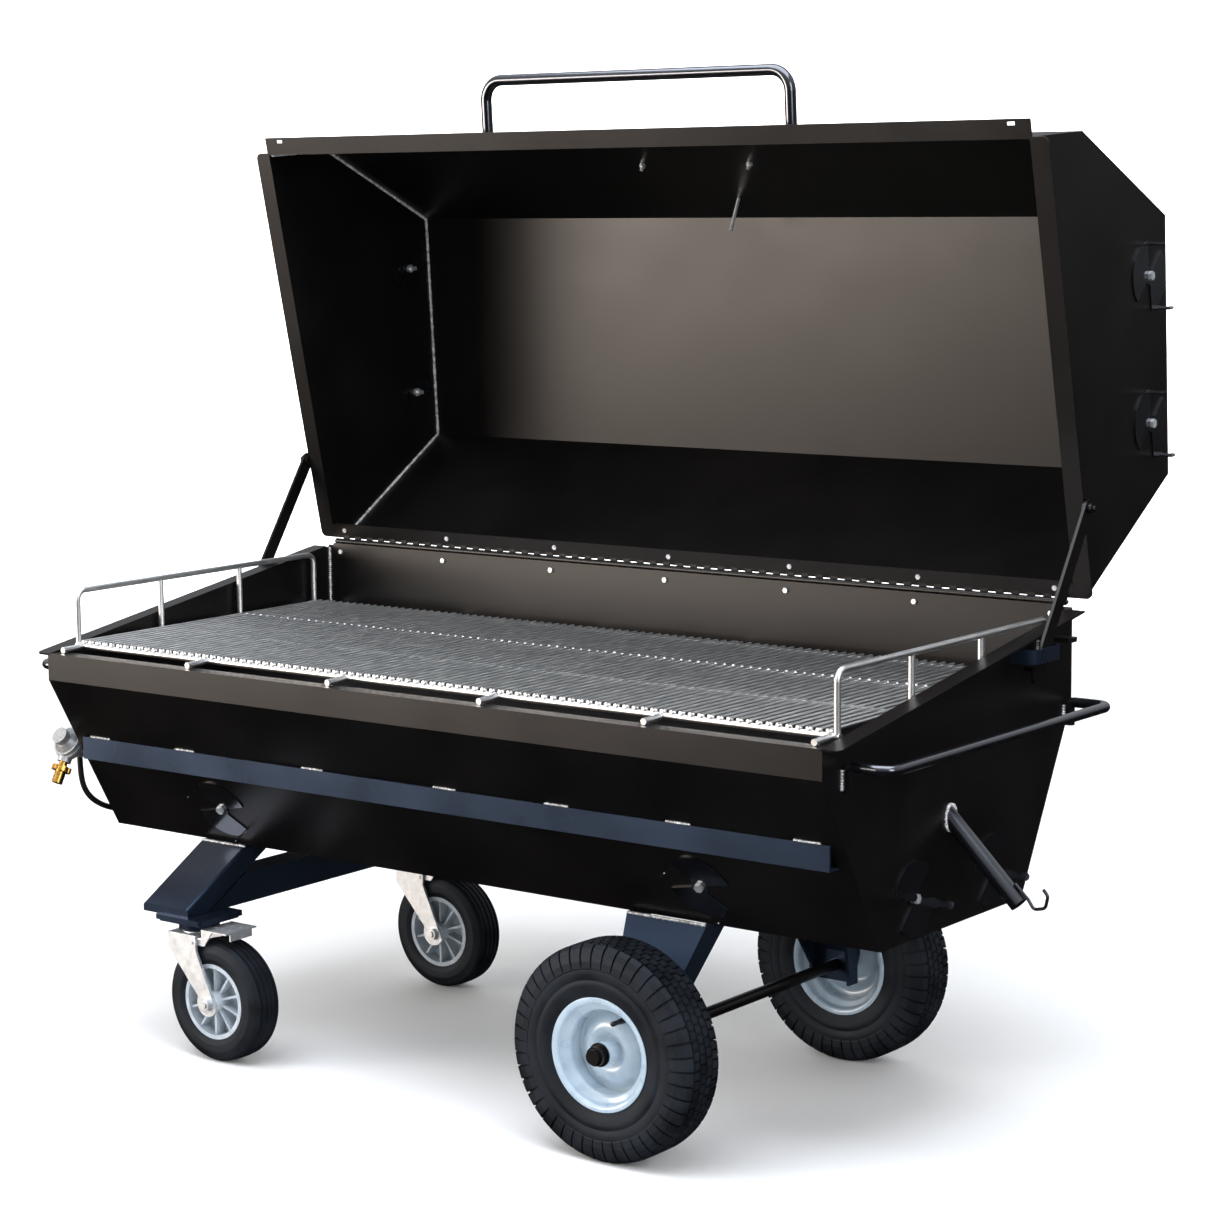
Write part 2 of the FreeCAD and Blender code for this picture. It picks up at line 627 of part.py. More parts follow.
def drip_pan():
    """A shallow folded valley under the grate that falls towards the drain tube."""
    inset = 12.0
    x0 = -END_X + SHEET + inset
    x1 = END_X - SHEET - inset
    front = -WALL_Y + SHEET + PAN_EDGE_GAP
    back = WALL_Y - SHEET - PAN_EDGE_GAP

    def half(y_edge):
        top = [V(x0, DRAIN_Y, pan_line(DRAIN_Y, x0)), V(x1, DRAIN_Y, pan_line(DRAIN_Y, x1)),
               V(x1, y_edge, pan_line(y_edge, x1)), V(x0, y_edge, pan_line(y_edge, x0))]
        face = Part.Face(Part.makePolygon(top + top[:1]))
        return face.extrude(V(0, 0, PAN_SHEET))

    return half(front).fuse(half(back)).removeSplitter()


def pan_bearer(side):
    """A flat bar across the trough, cut to its walls, that carries one end of the drip pan."""
    x = side * (END_X - 60.0)
    x0 = x - BEARER_THICK / 2
    x1 = x + BEARER_THICK / 2
    top = [(y, pan_line(y, x1) - 0.05) for y in (WALL_Y, DRAIN_Y, -WALL_Y)]
    foot = pan_line(DRAIN_Y, x1) - BEARER_DROP
    bar = prism_x([(-WALL_Y, foot), (WALL_Y, foot)] + top, x0, x1)
    inside = offset_line(trough_line(), SHEET)[1:]
    return bar.common(prism_x(inside, x0, x1))


def burner():
    """A U-shaped pipe burner along the trough with a row of ports in the top of each leg."""
    z = FLOOR_Z + BURNER_RISE
    x0 = -END_X + SHEET + 40.0
    x1 = x0 + BURNER_LENGTH
    outer = [V(x0, -BURNER_SPREAD, z), V(x1, -BURNER_SPREAD, z), V(x1, BURNER_SPREAD, z), V(x0, BURNER_SPREAD, z)]
    pipe = bent_bar(outer, BURNER_R, 60.0)
    count = int((BURNER_LENGTH - 260.0) / BURNER_PORT_PITCH)
    ports = []
    for side in (-1, 1):
        for k in range(count):
            x = x0 + 120.0 + k * BURNER_PORT_PITCH
            ports.append(Part.makeCylinder(BURNER_PORT_R, BURNER_R, V(x, side * BURNER_SPREAD, z + BURNER_R * 0.5)))
    return pipe.cut(Part.makeCompound(ports))


def burner_bracket(x):
    """A flat bar across the floor that cradles both burner legs."""
    z = FLOOR_Z + SHEET
    top = FLOOR_Z + BURNER_RISE - BURNER_R + 4.0
    half = BURNER_SPREAD + 32.0
    bar = Part.makeBox(5.0, 2 * half, top - z, V(x, -half, z))
    for side in (-1, 1):
        bar = bar.cut(Part.makeCylinder(BURNER_R + 0.2, 30.0, V(x - 12.0, side * BURNER_SPREAD, FLOOR_Z + BURNER_RISE),
                                        X_AXIS))
    bar = bar.cut(Part.makeBox(30.0, 2 * half - 90.0, top - z - 24.0, V(x - 12.0, -half + 45.0, z + 10.0)))
    return bar


# ================================================================ gas inlet, hose and regulator

def gas_x(out):
    """X of something a given distance out from the left end panel."""
    return -END_X - out


def gas_inlet():
    """A pipe through the left end panel to the burner, with an elbow that points down."""
    seat = V(gas_x(GAS_X), INLET_Y, INLET_Z)
    pipe = cylinder(seat, V(-END_X + 30.0, INLET_Y, INLET_Z), 8.0)
    elbow = Part.makeSphere(11.0, seat)
    neck = cylinder(seat, V(seat.x, INLET_Y, HOSE_ROUTE[-1][2]), 9.0)
    collar = Part.makeCylinder(14.0, 5.0, V(-END_X - 5.2, INLET_Y, INLET_Z), X_AXIS)
    riser_x = -END_X + 30.0
    low = V(riser_x, BURNER_SPREAD, FLOOR_Z + BURNER_RISE + BURNER_R + 0.4)
    riser = cylinder(V(riser_x, INLET_Y, INLET_Z + 6.0), V(riser_x, INLET_Y, low.z), 8.0)
    return pipe.fuse(elbow).fuse(neck).fuse(collar).fuse(riser).removeSplitter()


def hose_points():
    """The hose's route, from the regulator down and along to the inlet."""
    return [V(gas_x(out), y, z) for out, y, z in HOSE_ROUTE]


def hose_radii():
    """Each corner's arc: 0.45 of the shorter run beside it, over the tangent of half its turn."""
    points = hose_points()
    radii = []
    for before, corner, after in zip(points, points[1:], points[2:]):
        half = (corner - before).getAngle(after - corner) / 2
        run = min((corner - before).Length, (after - corner).Length)
        radii.append(0.45 * run / math.tan(half))
    return radii


def gas_hose():
    """The rubber gas hose as one round tube."""
    points = hose_points()
    wire = path_wire(points, hose_radii())
    circle = Part.Circle(points[0], points[1] - points[0], HOSE_R).toShape()
    hose = wire.makePipeShell([Part.Wire(circle)], True, False)
    print("hose length %.1f mm, section times length %.0f, volume %.0f" % (
        wire.Length, wire.Length * math.pi * HOSE_R ** 2, hose.Volume))
    print("hose radii", [round(r, 1) for r in hose_radii()])
    return hose


def regulator_body():
    """A die-cast regulator: a round diaphragm housing with a vent cap, an inlet neck and an outlet."""
    centre = V(gas_x(GAS_X + 4.0), REGULATOR_Y, REGULATOR_Z)
    face = V(0, -0.80, 0.60)
    housing = Part.makeCylinder(REGULATOR_R, 20.0, centre - face * 10.0, face)
    ring = Part.makeCylinder(REGULATOR_R + 3.0, 5.0, centre - face * 2.5, face)
    dome = Part.makeCone(REGULATOR_R - 3.0, 16.0, 9.0, centre + face * 10.0, face)
    cap = Part.makeCylinder(15.0, 14.0, centre + face * 17.0, face)
    neck_way = inlet_direction()
    neck = Part.makeCylinder(12.0, 34.0, centre, neck_way)
    end = hose_points()[0]
    spout = cylinder(V(end.x, end.y, end.z + 26.0), end, 8.0)
    spout_root = cylinder(V(end.x, end.y, end.z + 20.0), centre, 8.0)
    return housing.fuse([ring, dome, cap, neck, spout, spout_root]).removeSplitter()


def inlet_direction():
    """Which way the regulator's brass inlet points: down and to the front."""
    return V(0, -0.47, -0.88).normalize()


def regulator_nut():
    """The brass tank fitting: a winged collar and a round nose with a passage."""
    centre = V(gas_x(GAS_X + 4.0), REGULATOR_Y, REGULATOR_Z)
    way = inlet_direction()
    start = centre + way * 34.0
    neck = Part.makeCylinder(7.0, 12.0, start, way)
    collar = Part.makeCylinder(17.0, 9.0, start + way * 8.0, way)
    for k in range(6):
        notch = Part.makeCylinder(4.5, 12.0, V(0, 0, 0), way)
        arm = X_AXIS * math.cos(math.radians(60 * k)) + way.cross(X_AXIS) * math.sin(math.radians(60 * k))
        notch.translate(start + way * 6.0 + arm * 19.0)
        collar = collar.cut(notch)
    nose = Part.makeCylinder(9.5, 24.0, start + way * 14.0, way)
    passage = Part.makeCylinder(3.5, 20.0, start + way * 22.0, way)
    return neck.fuse(collar).fuse(nose).removeSplitter().cut(passage)


def regulator_clip():
    """A sheet hanger on the end panel that holds the regulator's outlet."""
    end = hose_points()[0]
    z = end.z + 12.0
    plate = Part.makeBox(3.0, 34.0, 46.0, V(-END_X - 3.0, end.y + 10.0, z - 20.0))
    arm = Part.makeBox(-END_X - end.x + 14.0, 22.0, 3.0, V(end.x - 14.0, end.y - 11.0, z - 3.0))
    web = Part.makeBox(-END_X - end.x - 11.0, 34.0, 3.0, V(end.x + 11.0, end.y + 10.0, z - 3.0))
    hole = Part.makeCylinder(8.2, 10.0, V(end.x, end.y, z - 6.0), Z_AXIS)
    return plate.fuse(arm).fuse(web).removeSplitter().cut(hole)


# ================================================================ hinge

def knuckle_count():
    return int((BODY_LENGTH - 2 * HINGE_END_GAP) / KNUCKLE_PITCH)


def hinge_leaf(upper):
    """A strip with fingers that curl round the pin; the two leaves' fingers take turns."""
    count = knuckle_count()
    half = KNUCKLE_PITCH / 2
    start = -count * half
    inner = WALL_Y - SHEET
    if upper:
        strip = rim_strip(start, -start)
        finger_z = HINGE_Z + HINGE_BARREL_R - HINGE_LEAF
    else:
        finger_z = HINGE_Z - HINGE_BARREL_R
        strip = Part.makeBox(-2 * start, HINGE_LEAF, HINGE_LEAF_DEPTH + HINGE_LEAF,
                             V(start, inner - HINGE_LEAF, finger_z - HINGE_LEAF_DEPTH))
    fingers = []
    for k in range(count):
        x = start + k * KNUCKLE_PITCH + (half if upper else 0.0) + KNUCKLE_GAP / 2
        width = half - KNUCKLE_GAP
        arm = Part.makeBox(width, HINGE_Y - inner + HINGE_LEAF, HINGE_LEAF, V(x, inner - HINGE_LEAF, finger_z))
        ring = Part.makeCylinder(HINGE_BARREL_R, width, V(x, HINGE_Y, HINGE_Z), X_AXIS)
        fingers.append(arm.fuse(ring))
    leaf = strip.fuse(fingers).removeSplitter()
    bore = Part.makeCylinder(HINGE_PIN_R + HINGE_CLEARANCE, -2 * start + 2, V(start - 1, HINGE_Y, HINGE_Z), X_AXIS)
    holes = [cylinder(at - way * 9.0, at + way * 9.0, HINGE_BOLT_R) for at, way in hinge_bolt_seats(upper)]
    return leaf.cut(bore).cut(Part.makeCompound(holes))


def rim_strip(x0, x1):
    """The upper leaf's strip, flat under the hood's sloping rear lip."""
    strip = Part.makeBox(x1 - x0, HINGE_LEAF_DEPTH, HINGE_LEAF, V(x0, -HINGE_LEAF_DEPTH, -HINGE_LEAF))
    strip.rotate(V(0, 0, 0), X_AXIS, math.degrees(RIM_SLOPE))
    y = WALL_Y - SHEET
    strip.translate(V(0, y, hood_rim_z(y) - HINGE_LIP_GAP))
    return strip


def hinge_bolt_seats(upper):
    """Where each hinge bolt's head seats, and which way the head stands out."""
    inner = WALL_Y - SHEET
    if upper:
        y = inner - HINGE_LEAF_DEPTH / 2
        way = V(0, math.sin(RIM_SLOPE), -math.cos(RIM_SLOPE))
        z = hood_rim_z(y) - HINGE_LIP_GAP
        seat = V(0, y, z) + way * (HINGE_LEAF + 0.1)
    else:
        way = -Y_AXIS
        z = HINGE_Z - HINGE_BARREL_R - HINGE_LEAF_DEPTH / 2
        seat = V(0, inner - HINGE_LEAF - 0.1, z)
    return [(seat + X_AXIS * x, way) for x in hinge_bolt_places()]


def hinge_bolt_places():
    """X of each hinge bolt, evenly spread between the strip's ends."""
    span = knuckle_count() * KNUCKLE_PITCH - 40.0
    return [-span / 2 + span * k / (HINGE_BOLTS - 1) for k in range(HINGE_BOLTS)]


# ================================================================ hood

def hood_line():
    """The hood wrap's outer line, shut, from the front flange over the roof to the rear lip."""
    cos = math.cos(RIM_SLOPE)
    sin = math.sin(RIM_SLOPE)
    front = hood_rim_z(-WALL_Y) + SHEET / cos
    rear = hood_rim_z(WALL_Y)
    roof = HOOD_ROOF_DEPTH / 2
    return [(-WALL_Y - HOOD_FRONT_FLANGE * cos, front - HOOD_FRONT_FLANGE * sin), (-WALL_Y, front),
            (-WALL_Y, HOOD_BEND_Z), (-roof, HOOD_TOP_Z), (roof, HOOD_TOP_Z), (WALL_Y, HOOD_BEND_Z),
            (WALL_Y, rear), (WALL_Y - HOOD_REAR_LIP * cos, rear - HOOD_REAR_LIP * sin)]


def hood_rim_z(y):
    """Height of the shut hood's rim line at a depth."""
    return rim_z(y) + RIM_GAP


def hood_wrap():
    """Front flange, skirt and slope, roof, rear slope, skirt and lip, folded from one sheet."""
    wrap = bent_sheet(hood_line(), -SHEET, -END_X, END_X)
    for side in (-1, 1):
        slot = Part.makeBox(SLOT_LENGTH, SLOT_WIDTH, 60.0,
                            V(side * (END_X - SLOT_INSET) - SLOT_LENGTH / 2, -WALL_Y - HOOD_FRONT_FLANGE + 5.0,
                              FRONT_RIM_Z - 20.0))
        wrap = wrap.cut(slot)
    at, out = slope_point(DIAL_HEIGHT_SHARE)
    wrap = wrap.cut(cylinder(at + out * 10.0, at - out * 10.0, STEM_R + 1.0))
    for side in (-1, 1):
        at, out = slope_point(BADGE_HEIGHT_SHARE)
        at = at + X_AXIS * (side * BADGE_BOLT_SPACING / 2)
        wrap = wrap.cut(cylinder(at + out * 10.0, at - out * 10.0, 3.2))
    for x in (-END_X - 1.0, END_X - SHEET):
        notch = Part.makeBox(SHEET + 1.0, HOOD_REAR_LIP, 4 * SHEET,
                             V(x, WALL_Y - SHEET - HOOD_REAR_LIP, hood_rim_z(WALL_Y) - 3 * SHEET))
        wrap = wrap.cut(notch)
    return cut_bolts(wrap, hinge_bolt_seats(True))


def slope_point(share):
    """A point on the outside of the shut hood's front slope, and the way out of it."""
    low = V(0, -WALL_Y, HOOD_BEND_Z)
    high = V(0, -HOOD_ROOF_DEPTH / 2, HOOD_TOP_Z)
    up = (high - low).normalize()
    return low + (high - low) * share, X_AXIS.cross(up)


def hood_end(end, wrap):
    """An end panel inside the hood's wrap, with its rim flange."""
    inner = offset_line(hood_line()[1:7], -SHEET)
    raised = SHEET / math.cos(RIM_SLOPE)
    front = -WALL_Y + SHEET
    rear = WALL_Y - SHEET
    outline = [(front, hood_rim_z(front) + raised)] + inner[1:5] + [(rear, hood_rim_z(rear) + raised)]
    panel = prism_x(outline, end * (END_X - SHEET), end * END_X)
    flange = rim_flange(end, RIM_GAP, WALL_Y, True)
    panel = panel.fuse(flange).removeSplitter().cut(wrap)
    word = "left" if end < 0 else "right"
    return cut_vents(panel, ("hood_vent_" + word,))


def hood_handle():
    """A bent tube that stands off the hood's front skirt."""
    y0 = -WALL_Y
    y1 = -WALL_Y - HOOD_HANDLE_REACH
    z = hood_rim_z(-WALL_Y) + HOOD_HANDLE_RISE
    half = HOOD_HANDLE_SPAN / 2
    points = [V(-half, y0, z), V(-half, y1, z), V(half, y1, z), V(half, y0, z)]
    return bent_bar(points, HANDLE_R, HOOD_HANDLE_BEND)


def thermometer():
    """A round dial case outside the slope with its stem through the sheet."""
    at, out = slope_point(DIAL_HEIGHT_SHARE)
    case = Part.makeCylinder(DIAL_R, DIAL_THICK, at + out * 3.0, out)
    dish = Part.makeCylinder(DIAL_R - 3.5, 3.0, at + out * (DIAL_THICK + 0.5), out)
    stem = Part.makeCylinder(STEM_R, STEM_LENGTH + 6.0, at - out * STEM_LENGTH, out)
    boss = Part.makeCylinder(9.0, 4.0, at + out * 0.1, out)
    return case.cut(dish).fuse(stem).fuse(boss).removeSplitter()


def dial_glass():
    """The dial's glass, seated in the case's rim."""
    at, out = slope_point(DIAL_HEIGHT_SHARE)
    return Part.makeCylinder(DIAL_R - 3.6, 2.0, at + out * (DIAL_THICK + 0.6), out)


def badge_plate():
    """A blank plate on the hood's front slope."""
    at, out = slope_point(BADGE_HEIGHT_SHARE)
    up = out.cross(X_AXIS)
    plate = Part.makeBox(BADGE_LENGTH, BADGE_HEIGHT, BADGE_THICK, V(-BADGE_LENGTH / 2, -BADGE_HEIGHT / 2, 0.1))
    edges = [e for e in plate.Edges if abs(e.BoundBox.ZLength - BADGE_THICK) < 0.01]
    plate = plate.makeFillet(8.0, edges)
    for side in (-1, 1):
        plate = plate.cut(Part.makeCylinder(3.2, 10.0, V(side * BADGE_BOLT_SPACING / 2, 0, -4.0), Z_AXIS))
    return placed(plate, at, X_AXIS, up, out)


def badge_bolt(side):
    """A small bolt and nut that holds the badge plate."""
    at, out = slope_point(BADGE_HEIGHT_SHARE)
    at = at + X_AXIS * (side * BADGE_BOLT_SPACING / 2)
    bolt = hex_bolt(at + out * (BADGE_THICK + 0.15), out, 3.0, 16.0, 10.0, 4.0)
    nut = Part.makeCylinder(5.5, 5.0, at - out * (SHEET + 5.1), out)
    return bolt.fuse(nut)


def hood_hinge_bolt(seat, way):
    """A bolt through the upper leaf and the hood's rear lip, with a thin nut on top."""
    bolt = hex_bolt(seat, way, HINGE_BOLT_R - 0.1, 11.0, 9.0, 2.2)
    nut = cylinder(seat - way * (HINGE_LEAF + SHEET + 0.4), seat - way * (HINGE_LEAF + SHEET + 4.4), 5.0)
    return bolt.fuse(nut)


def trough_hinge_bolt(seat, way):
    """A bolt through the lower leaf and the rear wall, its nut outside."""
    bolt = hex_bolt(seat, way, HINGE_BOLT_R - 0.1, 13.0, 9.0, 3.5)
    nut = cylinder(seat - way * (HINGE_LEAF + SHEET + 0.3), seat - way * (HINGE_LEAF + SHEET + 5.0), 5.5)
    return bolt.fuse(nut)


# ================================================================ hood stays

def stay_lug(end):
    """A plate welded to the edge of the hood's flange, with the stud that a stay swings on."""
    y, z = hood_shut_point(STAY_PIVOT_Y, STAY_PIVOT_Z)
    x0 = END_X + END_FLANGE
    top = hood_rim_z(y) + SHEET + 6.0
    plate = Part.makeBox(STAY_LUG_THICK, 30.0, top - z, V(x0, y - 15.0, z))
    plate = plate.fuse(Part.makeCylinder(9.5, STAY_LUG_THICK, V(x0, y, z), X_AXIS))
    stud = Part.makeCylinder(STAY_PIVOT_R, STAY_LUG_THICK + STAY_THICK + 12.0, V(x0, y, z), X_AXIS)
    lug = hood_open(plate.fuse(stud).removeSplitter())
    return lug if end > 0 else lug.mirror(V(0, 0, 0), X_AXIS)


def stay_nut(end):
    """The nut outside the stay."""
    out = STAY_X + STAY_THICK + STAY_FLANGE_GAP
    pivot = V(out, STAY_PIVOT_Y, STAY_PIVOT_Z)
    nut = Part.makeCylinder(8.5, 6.0, pivot, X_AXIS).cut(Part.makeCylinder(STAY_PIVOT_R, 8.0, pivot, X_AXIS))
    return nut if end > 0 else nut.mirror(V(0, 0, 0), X_AXIS)


def stay_direction():
    """Down the stay, hood open, from its pivot to the middle of the guide."""
    guide_z = rim_z(GUIDE_Y) - SHEET - GUIDE_DROP - GUIDE_WIDTH / 2
    return V(0, GUIDE_Y - STAY_PIVOT_Y, guide_z - STAY_PIVOT_Z)


def hood_stay(end):
    """A flat bar from the hood's pivot bolt down through the guide, with a stop pin in its tail."""
    reach = stay_direction().Length + STAY_TAIL
    bar = Part.makeBox(STAY_THICK, STAY_WIDTH, reach, V(STAY_X, -STAY_WIDTH / 2, -reach))
    bar = bar.fuse(Part.makeCylinder(STAY_WIDTH / 2, STAY_THICK, V(STAY_X, 0, 0), X_AXIS))
    bar = bar.fuse(Part.makeCylinder(STAY_WIDTH / 2, STAY_THICK, V(STAY_X, 0, -reach), X_AXIS))
    bar = bar.cut(Part.makeCylinder(STAY_PIVOT_R + FIT, 3 * STAY_THICK, V(STAY_X - STAY_THICK, 0, 0), X_AXIS))
    pin_z = -reach + STAY_WIDTH * 0.4
    bar = bar.fuse(Part.makeCylinder(4.0, STAY_THICK + 20.0, V(STAY_X - 20.0, 0, pin_z), X_AXIS))
    down = stay_direction()
    tilt = math.degrees(math.atan2(down.y, -down.z))
    bar.rotate(V(0, 0, 0), X_AXIS, tilt)
    bar.translate(V(0, STAY_PIVOT_Y, STAY_PIVOT_Z))
    bar = bar.removeSplitter()
    return bar if end > 0 else bar.mirror(V(0, 0, 0), X_AXIS)


# ================================================================ grate

def grate_rods():
    """The grate's rods, front to back, as separate bars."""
    count = int((GRATE_LENGTH - 24.0) / ROD_PITCH)
    first = -count * ROD_PITCH / 2
    rods = []
    for k in range(count + 1):
        x = first + k * ROD_PITCH
        rods.append(cylinder(V(x, -GRATE_DEPTH / 2 - 4.0, GRATE_TOP_Z - ROD_R),
                             V(x, GRATE_DEPTH / 2 + 4.0, GRATE_TOP_Z - ROD_R), ROD_R))
    return rods


def bar_z():
    """Height of the cross bars' centres, just biting into the rods that lie on them."""
    return GRATE_TOP_Z - 2 * ROD_R - BAR_R + WELD_SINK


def cross_bar_places():
    """Depths of the bars along X under the rods."""
    return [-GRATE_DEPTH / 2 + GRATE_DEPTH * k / (CROSS_BARS - 1) for k in range(CROSS_BARS)]


def grate_bars():
    """The bars along X, with the feet that stand on the front lip and the rear ledge."""
    half = GRATE_LENGTH / 2
    z = bar_z()
    shapes = []
    for y in cross_bar_places():
        shapes.append(cylinder(V(-half, y, z), V(half, y, z), BAR_R))
    edge_bars = {-1: shapes[0], 1: shapes[-1]}
    foot_z = FRONT_RIM_Z + BAR_R + GRATE_SIT
    front = -GRATE_DEPTH / 2
    lip_inner = -WALL_Y + FRONT_LIP
    for k in range(6):
        x = (k - 2.5) * LEG_PITCH
        x = max(min(x, half - 2 * BAR_R - 4.0), -half + 2 * BAR_R + 4.0)
        for side in (-1, 1):
            y_foot = side * (-lip_inner + 14.0)
            foot = [V(x, side * -front, z), V(x, side * (-lip_inner - 14.0), foot_z + 1.0), V(x, y_foot, foot_z)]
            shapes.append(bent_bar(foot, BAR_R, 12.0).cut(edge_bars[side]))
    return shapes


def side_rail(end, bars):
    """A bent bar with two posts over one end of the grate."""
    x = end * (GRATE_LENGTH / 2 - BAR_R)
    z0 = bar_z()
    z1 = z0 + BAR_R + SIDE_RAIL_RISE
    y = GRATE_DEPTH / 2
    hoop = bent_bar([V(x, -y, z0), V(x, -y, z1), V(x, y, z1), V(x, y, z0)], BAR_R, SIDE_RAIL_CORNER)
    places = cross_bar_places()[1:-1]
    for place in places:
        hoop = hoop.fuse(cylinder(V(x, place, z0), V(x, place, z1), BAR_R))
    return hoop.removeSplitter().cut(Part.makeCompound(bars[:CROSS_BARS]))


# ================================================================ chassis

def chassis_sides():
    """The running gear's two sides: -1 is the cook's side."""
    return ((-1, "front"), (1, "rear"))


def caster_leg_lines(side):
    """Outer and inner faces of a leg as (depth, height) from the top down, and its slope."""
    top_y = FLOOR_HALF + LEG_TOP_INSET
    toe_y = top_y + LEG_SPLAY + CHASSIS_Y * side
    low = CASTER_HEIGHT + PLATE_THICK
    run = (toe_y - top_y) / (FLOOR_Z - low - LEG_TOE)
    across = CASTER_LEG_THICK * math.hypot(1, run)
    outer = [(top_y, FLOOR_Z), (toe_y, low + LEG_TOE), (toe_y, low)]
    inner = [(top_y - across, FLOOR_Z), (toe_y - across + LEG_TOE * run, low)]
    return outer, inner, run


def caster_leg(side):
    """A flat box tube that leans out from the trough floor to a caster's mounting plate."""
    outer, inner, run = caster_leg_lines(side)
    x0 = CASTER_LEG_X - CASTER_LEG_WIDTH / 2
    x1 = CASTER_LEG_X + CASTER_LEG_WIDTH / 2
    solid = prism_x([(side * y, z) for y, z in outer + inner[::-1]], x0, x1)
    corners = [e for e in solid.Edges if e.BoundBox.XLength < 0.01 and e.BoundBox.YLength > LEG_SPLAY * 0.5]
    solid = solid.makeFillet(5.0, corners)
    wall = CASTER_LEG_WALL
    trim = wall * math.hypot(1, run)
    low = outer[2][1] + 20.0
    down = FLOOR_Z + 1.0
    hollow = [(outer[0][0] - trim - run, down), (outer[0][0] - trim + run * (FLOOR_Z - low), low),
              (inner[0][0] + trim + run * (FLOOR_Z - low), low), (inner[0][0] + trim - run, down)]
    return solid.cut(prism_x([(side * y, z) for y, z in hollow], x0 + wall, x1 - wall))


def swivel_y(side):
    """Depth of a caster's swivel axis."""
    return CHASSIS_Y + side * CASTER_TRACK / 2


def cross_tube():
    """A square tube between the two caster legs, its ends coped to them."""
    low = CASTER_HEIGHT + PLATE_THICK
    x0 = CASTER_LEG_X + CASTER_LEG_WIDTH / 2 - CROSS_TUBE
    front = caster_leg_lines(-1)[1][1][0]
    rear = caster_leg_lines(1)[1][1][0]
    tube = Part.makeBox(CROSS_TUBE, front + rear, CROSS_TUBE, V(x0, -front, low))
    wall = CASTER_LEG_WALL
    hollow = Part.makeBox(CROSS_TUBE - 2 * wall, front + rear + 2, CROSS_TUBE - 2 * wall,
                          V(x0 + wall, -front - 1, low + wall))
    tube = tube.cut(hollow)
    for side in (-1, 1):
        inner = caster_leg_lines(side)[1]
        beyond = [inner[0], inner[1], (BODY_DEPTH, inner[1][1]), (BODY_DEPTH, FLOOR_Z)]
        tube = tube.cut(prism_x([(side * y, z) for y, z in beyond], x0 - 1, x0 + CROSS_TUBE + 1))
    return tube


def caster_plate(side):
    """The steel plate under a leg that a caster bolts to, with the caster's raceway cup and king bolt."""
    y = swivel_y(side)
    x = CASTER_SWIVEL_X
    low = CASTER_HEIGHT
    plate = Part.makeBox(PLATE_SIZE, PLATE_SIZE, PLATE_THICK - 0.05, V(x - PLATE_SIZE / 2, y - PLATE_SIZE / 2, low))
    edges = [e for e in plate.Edges if abs(e.BoundBox.ZLength - PLATE_THICK) < 0.1]
    return plate.makeFillet(6.0, edges)


def king_bolt(side):
    """The raceway cup and the king bolt that a fork turns on."""
    y = swivel_y(side)
    x = CASTER_SWIVEL_X
    low = CASTER_HEIGHT
    crown = low - FORK_TOP_GAP
    flange = Part.makeBox(92.0, 92.0, 4.0, V(x - 46.0, y - 46.0, low - 4.05))
    cup = Part.makeCylinder(RACE_R, FORK_TOP_GAP - 6.0, V(x, y, crown + 2.0), Z_AXIS)
    bolt = Part.makeCylinder(6.0, FORK_TOP_GAP + 13.0, V(x, y, crown - 14.0), Z_AXIS)
    nut = Part.makeCylinder(10.0, 7.0, V(x, y, crown - 14.0), Z_AXIS)
    return flange.fuse(cup).fuse(bolt).fuse(nut).removeSplitter()


def axle_leg_face(side):
    """Depth of the plumb part of an axle leg, just inside the axle's collar."""
    reach = HUB_LENGTH / 2 + WHEEL_SIDE_GAP + AXLE_COLLAR + WHEEL_SIDE_GAP
    return abs(wheel_y(side)) - reach


def axle_leg_block(side, inset):
    """The leg's outer form, or the form of its hollow when inset."""
    top_y = FLOOR_HALF + LEG_TOP_INSET
    low_y = axle_leg_face(side)
    z1 = FLOOR_Z
    z0 = TYRE_R - AXLE_LEG_BELOW
    over = 10.0 if inset else 0.0
    face = [(top_y, z1), (low_y, TYRE_R + AXLE_LEG_KNEE), (low_y, z0)]
    face = offset_line(face, -inset)
    run = (face[0][0] - face[1][0]) / (z1 - TYRE_R - AXLE_LEG_KNEE)
    deep = 80.0 if inset else 0.0
    outline = [(face[0][0] + over * run, z1 + over), face[1], (face[2][0], z0 - over),
               (low_y - AXLE_LEG_FOOT_DEPTH - deep, z0 - over), (low_y - AXLE_LEG_FOOT_DEPTH - deep, TYRE_R),
               (top_y - AXLE_LEG_DEPTH - deep, z1 + over)]
    body = prism_x([(side * y, z) for y, z in outline], AXLE_X - AXLE_LEG_TOP, AXLE_X + AXLE_LEG_TOP)
    wide = AXLE_LEG_TOP / 2 - inset
    foot = AXLE_LEG_FOOT / 2 - inset
    plan = [(AXLE_X - wide, z1 + over), (AXLE_X + wide, z1 + over), (AXLE_X + foot, TYRE_R),
            (AXLE_X + foot, z0 - over), (AXLE_X - foot, z0 - over), (AXLE_X - foot, TYRE_R)]
    return body.common(prism_y(plan, -2 * BODY_DEPTH, 2 * BODY_DEPTH))


def axle_leg(side):
    """A folded, tapered channel from the trough floor down to the axle, plumb at its foot."""
    leg = axle_leg_block(side, 0.0).cut(axle_leg_block(side, AXLE_LEG_SHEET))
    bore = cylinder(V(AXLE_X, -BODY_DEPTH, TYRE_R), V(AXLE_X, BODY_DEPTH, TYRE_R), AXLE_R)
    return leg.cut(bore)


def wheel_y(side):
    """Depth of a big wheel's middle."""
    return CHASSIS_Y + side * WHEEL_TRACK / 2


